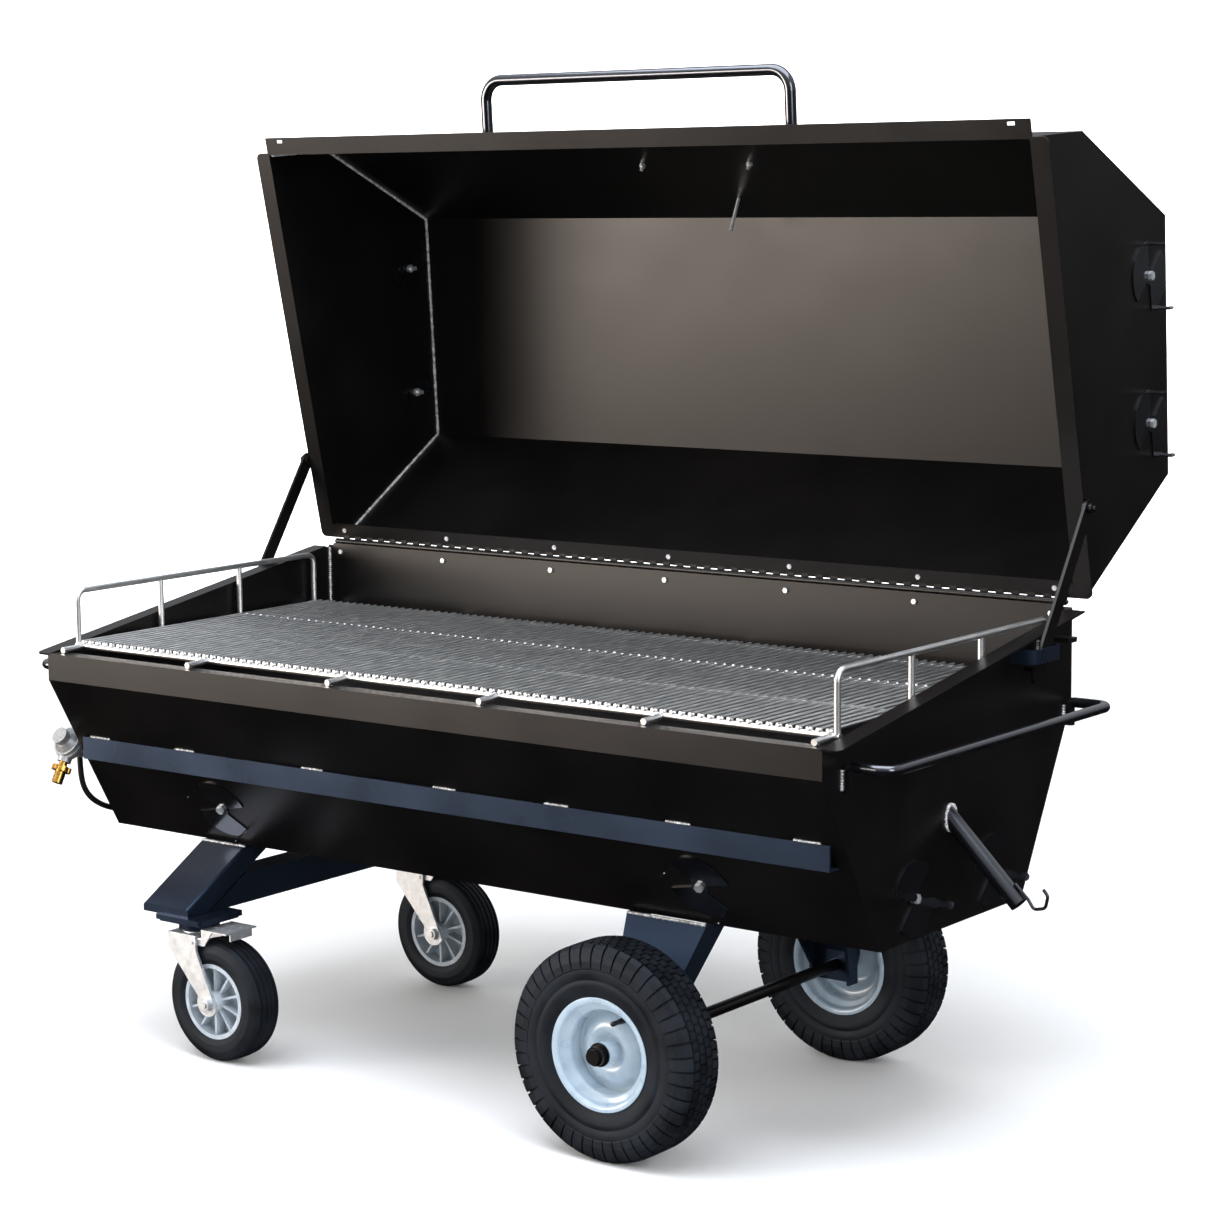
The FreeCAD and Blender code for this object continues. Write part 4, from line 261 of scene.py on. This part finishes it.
# the frame and rail pieces get the coat whose blue is a painted sky reflection
REPAINTED_AND_SKY_TINTED = {"hinge_pin": powder_coat, "axle": powder_coat, "drain_tube": gloss_coat,
                "end_handles": gloss_coat, "hood_handle": gloss_coat, "front_rail": sky_tinted_coat,
                "caster_legs": sky_tinted_coat, "axle_legs": sky_tinted_coat, "cross_tube": sky_tinted_coat,
                "caster_plates": sky_tinted_coat, "stay_guides": sky_tinted_coat}
for part in frame["record"]["subparts"]:
    cad_piece = frame["nodes"][part["node"]]
    coat = gloss_coat if "_vent_" in part["node"] else FINISHES[part["material_slot"]]
    chosen = REPAINTED_AND_SKY_TINTED.get(part["node"], coat)
    for place in cad_piece.material_slots:
        place.material = chosen
print(len(frame["nodes"]), "CAD pieces dressed")

# %% [markdown]
# ## Turning and ringing
# Wheels are made two ways. What is smooth all round, such as a carcass or a rim, is a closed
# outline turned about the axle. What repeats, such as a tread block, is modelled once and ringed by
# Geometry Nodes: points all on the axle, each turning its copy of the block a little further.

# %% Turning helpers
SAME_POINT = 0.001 * MM


def new_piece(name, mesh, body, look):
    """A finished piece at the origin, riding on a body."""
    piece = bpy.data.objects.new(name, mesh)
    bpy.context.scene.collection.objects.link(piece)
    mesh.materials.clear()
    mesh.materials.append(look)
    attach(piece, body)
    return piece


def soften(outline, radius, steps=3):
    """Rounds the corners of a closed outline."""
    soft = []
    count = len(outline)
    for i in range(count):
        corner = Vector(outline[i])
        before = Vector(outline[i - 1]) - corner
        after = Vector(outline[(i + 1) % count]) - corner
        cut = min(radius, before.length * 0.45, after.length * 0.45)
        start = corner + before.normalized() * cut
        end = corner + after.normalized() * cut
        for k in range(steps + 1):
            t = k / steps
            soft.append(tuple(start * (1 - t) ** 2 + corner * 2 * t * (1 - t) + end * t ** 2))
    return soft


def turned(outline, segments, centre, side=1):
    """A closed (out along the axle, radius) outline turned about Y, side -1 for the mirror copy."""
    build = bmesh.new()
    rings = []
    for k in range(segments):
        angle = 2 * math.pi * k / segments
        rings.append([build.verts.new((r * MM * math.sin(angle), side * a * MM, r * MM * math.cos(angle)))
                      for a, r in outline])
    for k in range(segments):
        near = rings[k]
        far = rings[(k + 1) % segments]
        for i in range(len(outline)):
            j = (i + 1) % len(outline)
            if outline[i][1] > 0 or outline[j][1] > 0:
                build.faces.new((near[i], near[j], far[j], far[i]))
    bmesh.ops.remove_doubles(build, verts=build.verts, dist=SAME_POINT)
    bmesh.ops.recalc_face_normals(build, faces=build.faces)
    bmesh.ops.translate(build, verts=build.verts, vec=centre)
    mesh = bpy.data.meshes.new("turned")
    build.to_mesh(mesh)
    build.free()
    mesh.shade_smooth()
    return mesh


# %% A Geometry Nodes tree for rings
def start_tree(name, inputs):
    """A Geometry Nodes tree with named inputs, its input and output nodes, and its sockets."""
    tree = bpy.data.node_groups.new(name, "GeometryNodeTree")
    tree.interface.new_socket("Geometry", in_out="INPUT", socket_type="NodeSocketGeometry")
    for key, kind in inputs.items():
        tree.interface.new_socket(key, in_out="INPUT", socket_type="NodeSocket" + kind)
    tree.interface.new_socket("Geometry", in_out="OUTPUT", socket_type="NodeSocketGeometry")
    return tree, tree.nodes.new("NodeGroupInput"), tree.nodes.new("NodeGroupOutput")


def close_tree(tree, given, ending, instances):
    """Realises the copies, gives them their finish and ends the tree."""
    real = add(tree, "GeometryNodeRealizeInstances", Geometry=instances)
    dressed = add(tree, "GeometryNodeSetMaterial", Geometry=real.outputs[0], Material=given.outputs["Finish"])
    tree.links.new(dressed.outputs[0], ending.inputs[0])


ring_tree, given, ending = start_tree("ring of blocks", {"Block": "Object", "Count": "Int",
                                                         "Start": "Float", "Finish": "Material"})
row = add(ring_tree, "GeometryNodeMeshLine", {"Offset": (0, 0, 0)}, Count=given.outputs["Count"])
block = add(ring_tree, "GeometryNodeObjectInfo", Object=given.outputs["Block"])
number = add(ring_tree, "GeometryNodeInputIndex")
step = add(ring_tree, "ShaderNodeMath", {"operation": "DIVIDE", 0: 2 * math.pi})
ring_tree.links.new(given.outputs["Count"], step.inputs[1])
turn = add(ring_tree, "ShaderNodeMath", {"operation": "MULTIPLY_ADD"})
for socket, wire in zip(turn.inputs, (number.outputs[0], step.outputs[0], given.outputs["Start"])):
    ring_tree.links.new(wire, socket)
about_axle = add(ring_tree, "ShaderNodeCombineXYZ", Y=turn.outputs[0])
copies = add(ring_tree, "GeometryNodeInstanceOnPoints", Points=row.outputs[0],
             Instance=block.outputs["Geometry"], Rotation=about_axle.outputs[0])
close_tree(ring_tree, given, ending, copies.outputs[0])
print(ring_tree.name, "has", len(ring_tree.nodes), "nodes")


def grown(tree, mesh, values):
    """Runs a Geometry Nodes tree on a mesh with named inputs and returns the plain mesh it makes."""
    carrier = bpy.data.objects.new("carrier", mesh)
    bpy.context.scene.collection.objects.link(carrier)
    modifier = carrier.modifiers.new("grow", "NODES")
    modifier.node_group = tree
    for item in tree.interface.items_tree:
        if item.in_out == "INPUT" and item.name in values:
            modifier[item.identifier] = values[item.name]
    bpy.context.view_layer.update()
    ready = carrier.evaluated_get(bpy.context.evaluated_depsgraph_get())
    plain = bpy.data.meshes.new_from_object(ready)
    bpy.data.objects.remove(carrier)
    return plain


def ringed(block_mesh, count, start, look, centre):
    """A ring of a block about the axle, moved to a wheel's centre."""
    pattern = bpy.data.objects.new("block", block_mesh)
    bpy.context.scene.collection.objects.link(pattern)
    ring = grown(ring_tree, bpy.data.meshes.new("bare"),
                 {"Block": pattern, "Count": count, "Start": start, "Finish": look})
    bpy.data.objects.remove(pattern)
    ring.transform(Matrix.Translation(centre))
    return ring


def arc_block(section, half_angle, slices, side=1):
    """A block whose (out, radius) section sweeps a short arc about the axle at the top of the wheel."""
    build = bmesh.new()
    rows = []
    for k in range(slices + 1):
        angle = half_angle * (2 * k / slices - 1)
        rows.append([build.verts.new((r * MM * math.sin(angle), side * a * MM, r * MM * math.cos(angle)))
                     for a, r in section])
    for near, far in zip(rows, rows[1:]):
        for i in range(len(section)):
            j = (i + 1) % len(section)
            build.faces.new((near[i], near[j], far[j], far[i]))
    build.faces.new(rows[0])
    build.faces.new(rows[-1][::-1])
    bmesh.ops.recalc_face_normals(build, faces=build.faces)
    mesh = bpy.data.meshes.new("arc block")
    build.to_mesh(mesh)
    build.free()
    return mesh


def joined(meshes, name):
    """Several plain meshes as one."""
    build = bmesh.new()
    for mesh in meshes:
        build.from_mesh(mesh)
    whole = bpy.data.meshes.new(name)
    build.to_mesh(whole)
    build.free()
    return whole


def middle(node):
    """The middle of a CAD piece's box."""
    low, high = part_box(node)
    return (low + high) / 2


# %% [markdown]
# ## Pneumatic tyres
# A cart tyre with a rounded carcass, four rows of small square blocks on the crown and long blocks
# that wrap each shoulder. The carcass is turned; the blocks are ringed, alternate rows half a step
# round. The mould's seam ring on the sidewall is part of the outline.

# %% Pneumatic tyres
TYRE_R = 165.0
SHOULDER_BLOCKS = 46
CROWN_BLOCKS = 70
CROWN_FOOT = 158.0
CARCASS_SEGMENTS = 120
SIDEWALL = [(38, 79.5), (38.2, 86), (41.5, 93), (44.2, 104), (44.4, 110), (43.4, 111.5), (43.4, 113),
            (44.6, 114.5), (44.3, 126), (42.4, 138), (38.8, 149), (33, 156.5), (22, 160.2), (0, 161.2)]
CARCASS = SIDEWALL + [(-a, r) for a, r in SIDEWALL[-2::-1]]
CARCASS_INSIDE = [(-30, 79.5), (-31, 92), (-34, 112), (-31, 138), (-16, 150), (16, 150), (31, 138),
                  (34, 112), (31, 92), (30, 79.5)]
SHOULDER = [(44.0, 127.5), (44.9, 129.5), (44.6, 140), (42.0, 150), (37.6, 158.4), (31.4, 163.2),
            (29.5, 163.0), (29.5, 157.0), (36.5, 148), (41.0, 134)]
# each row of crown blocks: its two edges along the axle, and its start as a part of a step
CROWN_ROWS = [(-27.5, -15.5, 0.0), (-13.0, -1.5, 0.5), (1.5, 13.0, 0.0), (15.5, 27.5, 0.5)]


def pneumatic_tyre(place):
    """One tyre, in place of its CAD carcass."""
    centre = middle("wheel_tyre_" + place)
    step = 2 * math.pi / SHOULDER_BLOCKS
    parts = [turned(CARCASS + CARCASS_INSIDE, CARCASS_SEGMENTS, centre)]
    for side in (-1, 1):
        wrap = arc_block(SHOULDER, step * 0.42, 3, side)
        parts.append(ringed(wrap, SHOULDER_BLOCKS, step / 2 * (side > 0), tyre_rubber, centre))
    step = 2 * math.pi / CROWN_BLOCKS
    for low, high, phase in CROWN_ROWS:
        top = TYRE_R - 0.4 - 0.02 * max(abs(low), abs(high))
        square = arc_block([(low, CROWN_FOOT), (high, CROWN_FOOT), (high - 0.4, top), (low + 0.4, top)],
                           step * 0.38, 1)
        parts.append(ringed(square, CROWN_BLOCKS, phase * step, tyre_rubber, centre))
    mesh = joined(parts, "pneumatic_tyre_" + place)
    tyre = new_piece("pneumatic_tyre_" + place, mesh, "wheel_" + place, tyre_rubber)
    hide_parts("wheel_tyre_" + place)
    return tyre


for place in ("front", "rear"):
    print(pneumatic_tyre(place).name)

# %% [markdown]
# ## Wheel rims
# Pressed steel: a rolled edge, a bead seat, a dropped centre and a dished disc welded inside, then
# sprayed light grey. All of it is turned. The rubber valve stem is a small turned piece too.

# %% Wheel rims
BARREL = [(41, 80), (41, 86), (38.6, 86.2), (37.6, 82), (36, 78.8), (27, 78), (23, 68), (20, 66.2),
          (-20, 66.2), (-23, 68), (-27, 78), (-36, 78.8), (-37.6, 82), (-38.6, 86.2), (-41, 86),
          (-41, 80), (-38.6, 76.4), (-28.6, 75.4), (-24.8, 66), (-21, 63.8), (21, 63.8), (24.8, 66),
          (28.6, 75.4), (38.6, 76.4)]
DISC = [(-4, 65), (0, 65), (0.5, 58), (10, 46), (14, 38), (14, 28), (7, 19), (7, 16), (3, 16),
        (3, 20), (10, 29), (10, 37), (7, 43), (-4, 56)]
HUB_TUBE = [(-36, 9.6), (-36, 17), (36, 17), (36, 9.6)]
RIM_SEGMENTS = 96
STEM = [(0, 0), (0, 5), (8, 4.2), (22, 3.6), (23, 3.9), (29.4, 3.9), (30, 3.3), (30, 0)]
STEM_SEGMENTS = 20
STEM_FOOT = (0.020, 0.003, 0.048)


def wheel_rim(place, side):
    """One rim, in place of its CAD form, with its outer face on the given side."""
    low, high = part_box("wheel_rim_" + place)
    centre = Vector(((low.x + high.x) / 2, (low.y + high.y) / 2, TYRE_R * MM))
    parts = [turned(soften(BARREL, 2.2), RIM_SEGMENTS, centre, side),
             turned(soften(DISC, 5.0), RIM_SEGMENTS, centre, side),
             turned(soften(HUB_TUBE, 1.2), RIM_SEGMENTS // 2, centre, side)]
    mesh = joined(parts, "wheel_rim_" + place)
    mesh.shade_smooth()
    rim = new_piece("painted_rim_" + place, mesh, "wheel_" + place, rim_enamel)
    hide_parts("wheel_rim_" + place)
    foot = centre + Vector((STEM_FOOT[0], side * STEM_FOOT[1], STEM_FOOT[2]))
    stem = turned(STEM, STEM_SEGMENTS, foot, side)
    return rim, new_piece("valve_stem_" + place, stem, "wheel_" + place, hose_rubber)


for place, side in (("front", -1), ("rear", 1)):
    print([made.name for made in wheel_rim(place, side)])

# %% [markdown]
# ## Caster tyres
# Solid moulded rubber with four grooves round the tread, so the outline does all the work.

# %% Caster tyres
GROOVES = (-16.5, -5.5, 5.5, 16.5)
GROOVE_DEPTH = 3.2
CROWN_TOP = 101.5
CASTER_OUTLINE = [(28, 63.2), (32, 72), (32, 83.5), (27, 95.5), (22, 100)]
for groove in GROOVES[::-1]:
    crown = CROWN_TOP - 0.004 * groove * groove
    CASTER_OUTLINE += [(groove + 1.8, crown), (groove + 1.1, crown - GROOVE_DEPTH),
                       (groove - 1.1, crown - GROOVE_DEPTH), (groove - 1.8, crown)]
CASTER_OUTLINE += [(-22, 100), (-27, 95.5), (-32, 83.5), (-32, 72), (-28, 63.2)]
for place in ("front", "rear"):
    mesh = turned(soften(CASTER_OUTLINE, 0.6, 2), RIM_SEGMENTS, middle("caster_tyre_" + place))
    caster_tyre = new_piece("ribbed_tyre_" + place, mesh, "caster_wheel_" + place,
                            tyre_rubber)
    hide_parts("caster_tyre_" + place)
    print(caster_tyre.name)

# %% [markdown]
# ## Weld beads
# The sheets are joined by hand-laid beads: long ones in the inside corners, short stitches along
# the rail, rings round bar ends. A bead is a row of overlapping drops. Geometry Nodes walk each
# seam in steps of a drop and set down a squashed ball, with its size and turn picked from a fixed
# seed, which gives the lumpy rhythm of a real weld.

# %% A Geometry Nodes tree for beads
DROP_SIDES = 8
DROP_RINGS = 6
SMALLEST_DROP = (0.75, 0.75, 0.6)
LARGEST_DROP = (1.25, 1.25, 1.0)
LEAST_TURN = (-0.5, -0.5, -3.0)
MOST_TURN = (0.5, 0.5, 3.0)
BEAD_SEED = 11
DOT_SEED = 23


def drops(tree, given, points, seed):
    """Squashed balls on points, with seeded sizes and turns."""
    ball = add(tree, "GeometryNodeMeshUVSphere", {"Segments": DROP_SIDES, "Rings": DROP_RINGS},
               Radius=given.outputs["Bead"])
    smooth = add(tree, "GeometryNodeSetShadeSmooth", Geometry=ball.outputs[0])
    size = add(tree, "FunctionNodeRandomValue", {"data_type": "FLOAT_VECTOR", "Seed": seed})
    size.inputs[0].default_value = SMALLEST_DROP
    size.inputs[1].default_value = LARGEST_DROP
    spin = add(tree, "FunctionNodeRandomValue", {"data_type": "FLOAT_VECTOR", "Seed": seed + 1})
    spin.inputs[0].default_value = LEAST_TURN
    spin.inputs[1].default_value = MOST_TURN
    return add(tree, "GeometryNodeInstanceOnPoints", Points=points, Instance=smooth.outputs[0],
               Scale=size.outputs[0], Rotation=spin.outputs[0])


bead_tree, given, ending = start_tree("weld bead", {"Bead": "Float", "Pitch": "Float",
                                                    "Finish": "Material"})
seam = add(bead_tree, "GeometryNodeMeshToCurve", Mesh=given.outputs["Geometry"])
steps = add(bead_tree, "GeometryNodeResampleCurve", {"mode": "LENGTH"}, Curve=seam.outputs[0],
            Length=given.outputs["Pitch"])
close_tree(bead_tree, given, ending, drops(bead_tree, given, steps.outputs[0], BEAD_SEED).outputs[0])

dot_tree, given, ending = start_tree("weld dots", {"Bead": "Float", "Finish": "Material"})
close_tree(dot_tree, given, ending,
           drops(dot_tree, given, given.outputs["Geometry"], DOT_SEED).outputs[0])


def seam_mesh(seams):
    """Lines through points, as a mesh of edges."""
    points = []
    edges = []
    for seam_points in seams:
        first = len(points)
        points += [tuple(p) for p in seam_points]
        edges += [(first + k, first + k + 1) for k in range(len(seam_points) - 1)]
    mesh = bpy.data.meshes.new("seams")
    mesh.from_pydata(points, edges, [])
    return mesh


# %% Seams of the trough
END = (trough_hi.x - trough_lo.x) / 2 / MM
SHEET = 3.0
BEAD_INSET = 1.5
INSIDE = END - SHEET - BEAD_INSET
CORNER_Y = 353.5
SLOPE_RUN = (358.0 - 205.0) / 273.0
FLOOR_EDGE = (205.0, 336.0)
RAIL_TOP = 506.0
STITCHES = (-709, -511, -227, 47, 264, 487, 709)
HALF_STITCH = 20.0
HANDLE_FEET = (-302.0, 338.0)
LUG_EDGES = (166.0, 246.0)
CASTER_LEG_ENDS = (-559, -464)
AXLE_LEG_ENDS = (334, 472)
LEG_SIDE = 214.0

rail_y = -FLOOR_EDGE[0] - (RAIL_TOP - FLOOR_EDGE[1]) * SLOPE_RUN
trough_seams = [[spot(x + step, rail_y - 0.5, RAIL_TOP + 0.6) for step in (-HALF_STITCH, HALF_STITCH)]
                for x in STITCHES]
for side in (-1, 1):
    x = side * INSIDE
    trough_seams.append([spot(x, CORNER_Y, 640), spot(x, CORNER_Y, 760)])
    trough_seams.append([spot(x, -CORNER_Y, 616), spot(x, -CORNER_Y, 648)])
    face = side * (END + 1.0)
    for y in HANDLE_FEET:
        for step in (-7.0, 7.0):
            trough_seams.append([spot(face, y + step, 590), spot(face, y + step, 616)])
    for y in LUG_EDGES:
        trough_seams.append([spot(face, y, 712), spot(face, y, 728)])


def ring_on_end(y, z, half_wide, half_high, count=18):
    """An oval seam on the right end panel."""
    angles = [2 * math.pi * k / count for k in range(count + 1)]
    return [spot(END + 0.8, y + half_wide * math.cos(a), z + half_high * math.sin(a)) for a in angles]


trough_seams.append(ring_on_end(-10, 499, 14.5, 20.0))
for x0, x1 in (CASTER_LEG_ENDS, AXLE_LEG_ENDS):
    for side in (-1, 1):
        trough_seams.append([spot(x, side * LEG_SIDE, 335) for x in (x0, x1)])
print(len(trough_seams), "seams on the trough")

# %% Seams of the hood
hinge_joint = next(joint for joint in frame["joints"] if joint["name"] == "hood_hinge")
HINGE = Vector(hinge_joint["pos_m"])
SWING = -math.radians(hinge_joint["range_deg"][1])


def swung(x, y, z):
    """A point of the shut hood, moved to where the open hood carries it."""
    return HINGE + Matrix.Rotation(SWING, 3, "X") @ (spot(x, y, z) - HINGE)


HOOD_CORNER = [(-CORNER_Y, 676), (-CORNER_Y, 823), (-206.5, 1093.5), (206.5, 1093.5), (CORNER_Y, 823),
               (CORNER_Y, 786)]
HANDLE_END = 309.0
HANDLE_Z = 727.0
HOOD_FRONT = -358.6
FOOT_EDGE = 9.0
hood_seams = [[swung(side * INSIDE, y, z) for y, z in HOOD_CORNER] for side in (-1, 1)]
for side in (-1, 1):
    for step in (-FOOT_EDGE, FOOT_EDGE):
        hood_seams.append([swung(side * HANDLE_END + step, HOOD_FRONT, HANDLE_Z + rise)
                           for rise in (-FOOT_EDGE, FOOT_EDGE)])
print(len(hood_seams), "seams on the hood")

# %% Lay the beads
for name, body, seams, bead, pitch in (("weld_beads_trough", "trough", trough_seams, 2.9, 3.8),
                                       ("weld_beads_hood", "hood", hood_seams, 3.1, 4.0)):
    mesh = grown(bead_tree, seam_mesh(seams),
                 {"Bead": bead * MM, "Pitch": pitch * MM, "Finish": weld_metal})
    made = new_piece(name, mesh, body, weld_metal)
    print(made.name, len(mesh.polygons), "faces")

# %% [markdown]
# ## Spot welds on the grate
# Each rod is fused to the bars it crosses. The same drop, set once at each crossing, gives the rows
# of bright dots.

# %% Grate dots
rods_lo, rods_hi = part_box("grate_rods")
ROD_PITCH = 16.7 * MM
ROD_RADIUS = 3.0 * MM
DOT_DROP = 4.0 * MM
DOT_RADIUS = 3.4 * MM
BAR_DEPTHS = (-298.0, -99.3, 99.3, 298.0)
rod_count = round((rods_hi.x - rods_lo.x - 2 * ROD_RADIUS) / ROD_PITCH) + 1
crossings = [Vector((rods_lo.x + ROD_RADIUS + k * ROD_PITCH, spot(0, y, 0).y, rods_hi.z - DOT_DROP))
             for k in range(rod_count) for y in BAR_DEPTHS]
crossings = [p + Vector((ROD_RADIUS * (-1) ** k, 0.0, 0.0)) for k, p in enumerate(crossings)]
dots = bpy.data.meshes.new("crossings")
dots.from_pydata([tuple(p) for p in crossings], [], [])
mesh = grown(dot_tree, dots, {"Bead": DOT_RADIUS, "Finish": weld_metal})
new_piece("grate_spot_welds", mesh, "grate", weld_metal)
print(len(crossings), "spot welds")

# %% [markdown]
# ## Thermometer dial
# The dial faces backwards while the hood is open. It has a pale card, a ring of ticks and a
# needle, and no words.

# %% Thermometer dial
slope_low = Vector((0.0, -358.0, 825.0))
slope_high = Vector((0.0, -209.0, 1099.0))
DIAL_UP_SLOPE = 0.74
DIAL_STANDOFF = 16.7
TICKS = 24
CARD = [(-0.1, 0), (-0.1, 33.4), (0.0, 33.5), (0.15, 33.5), (0.25, 33.4), (0.25, 0)]
TICK = [(0.25, 26.0), (0.45, 26.0), (0.45, 31.0), (0.25, 31.0)]
NEEDLE = [(0.3, 2.0), (0.5, 2.0), (0.5, 25.0), (0.3, 25.0)]
slope_way = (slope_high - slope_low).normalized()
outward = Vector((0, -slope_way.z, slope_way.y))
dial_at = slope_low + (slope_high - slope_low) * DIAL_UP_SLOPE + outward * DIAL_STANDOFF


def on_dial(mesh):
    """Moves a mesh drawn about the Y axis onto the dial of the open hood."""
    face_turn = Vector((0, 1, 0)).rotation_difference(outward).to_matrix().to_4x4()
    shut = Matrix.Translation(spot(*dial_at)) @ face_turn
    swing = Matrix.Translation(HINGE) @ Matrix.Rotation(SWING, 4, "X") @ Matrix.Translation(-HINGE)
    mesh.transform(swing @ shut)
    return mesh


card = turned(CARD, 48, Vector((0, 0, 0)))
new_piece("dial_face_card", on_dial(card), "hood", dial_card)
ticks = ringed(arc_block(TICK, 0.018, 1), TICKS, 0.0, dial_ink, Vector((0, 0, 0)))
needle = arc_block(NEEDLE, 0.05, 1)
marks = on_dial(joined([ticks, needle], "dial marks"))
new_piece("dial_ticks_and_needle", marks, "hood", dial_ink)
print("dial with", TICKS, "ticks and a needle")

# %% [markdown]
# ## Studio
# The cart stands in the middle of a round seamless paper sweep, so every side has a pale ground. A
# low wide light ahead and to the left only shows in gloss: it is the long grey sheen on the panels
# that face the cook. Fills from both sides and a cool overhead light do the rest, and a wash lights
# the paper behind.

# %% Floor
floor_paper = finish("seamless paper", ("#f2f1ef", "#f6f5f3"), (0.85, 0.95),
                     900.0, 3.0, 0.02, Specular_IOR_Level=0.1)
SWEEP = [(1.0, 0.0), (7.2, 0.0), (7.9, 0.12), (8.5, 0.5), (8.9, 1.1), (9.0, 2.0), (9.0, 4.5)]
SWEEP_SIDES = 72
build = bmesh.new()
angles = [2 * math.pi * k / SWEEP_SIDES for k in range(SWEEP_SIDES)]
rows = [[build.verts.new((out * math.cos(a), out * math.sin(a), z)) for out, z in SWEEP] for a in angles]
for near, far in zip(rows, rows[1:] + rows[:1]):
    for i in range(len(SWEEP) - 1):
        build.faces.new((near[i], near[i + 1], far[i + 1], far[i]))
build.faces.new([row[0] for row in rows])
bmesh.ops.recalc_face_normals(build, faces=build.faces)
mesh = bpy.data.meshes.new("sweep")
build.to_mesh(mesh)
build.free()
mesh.shade_smooth()
mesh.materials.append(floor_paper)
sweep = bpy.data.objects.new("sweep", mesh)
bpy.context.scene.collection.objects.link(sweep)
sweep.visible_glossy = False
print("sweep of", len(mesh.polygons), "faces")


# %% Lights
def soft_light(name, place, aim, size, power, colour, lights_matt=True, shows_in_gloss=True):
    """An area light that looks at a point."""
    data = bpy.data.lights.new(name, "AREA")
    data.shape = "RECTANGLE"
    data.size, data.size_y = size
    data.energy = power
    data.color = linear(colour)[:3]
    lamp = bpy.data.objects.new(name, data)
    lamp.location = place
    lamp.rotation_euler = (Vector(aim) - Vector(place)).to_track_quat("-Z", "Y").to_euler()
    lamp.visible_camera = False
    lamp.visible_diffuse = lights_matt
    lamp.visible_glossy = shows_in_gloss
    bpy.context.scene.collection.objects.link(lamp)


# name, place, aim, size, power, colour, then what it doesn't light
LAMPS = [
    ("front left sheen", (-3.9, -4.4, 1.3), (0, 0, 0.9), (3.6, 2.2), 330, "#fff3e8", {"lights_matt": False}),
    ("front left fill", (-4.2, -4.6, 2.4), (0, 0, 0.6), (3.0, 2.4), 120, "#fffaf4", {"shows_in_gloss": False}),
    ("overhead", (0.2, -0.8, 4.4), (0, 0, 0.5), (5.0, 3.6), 300, "#eef4ff", {}),
    ("right fill", (4.6, -2.2, 2.4), (0, 0, 0.7), (2.0, 2.4), 90, "#f4f7ff", {}),
    ("wall wash", (-3.4, 4.3, 3.4), (-5.5, 7.1, 1.6), (9.0, 2.0), 700, "#fbfcff", {"shows_in_gloss": False}),
]
for *lamp_values, limits in LAMPS:
    soft_light(*lamp_values, **limits)
print(len(LAMPS), "lamps")

# %% Sky
HORIZON_AND_ZENITH = ("#1d1a18", "#f0f4fa")
SKY_STRENGTH = 0.75
world = bpy.data.worlds.new("studio")
world.use_nodes = True
sky = world.node_tree
way = add(sky, "ShaderNodeSeparateXYZ", Vector=add(sky, "ShaderNodeTexCoord").outputs["Generated"])
rise = add(sky, "ShaderNodeMapRange", {"From Min": -0.1, "From Max": 0.55}, Value=way.outputs["Z"])
tones = add(sky, "ShaderNodeValToRGB", Fac=rise.outputs[0])
for stop, code in zip(tones.color_ramp.elements, HORIZON_AND_ZENITH):
    stop.color = linear(code)
sky.links.new(tones.outputs["Color"], sky.nodes["Background"].inputs["Color"])
sky.nodes["Background"].inputs["Strength"].default_value = SKY_STRENGTH
bpy.context.scene.world = world
bpy.context.scene.view_settings.view_transform = "Standard"
print("sky from", *HORIZON_AND_ZENITH)
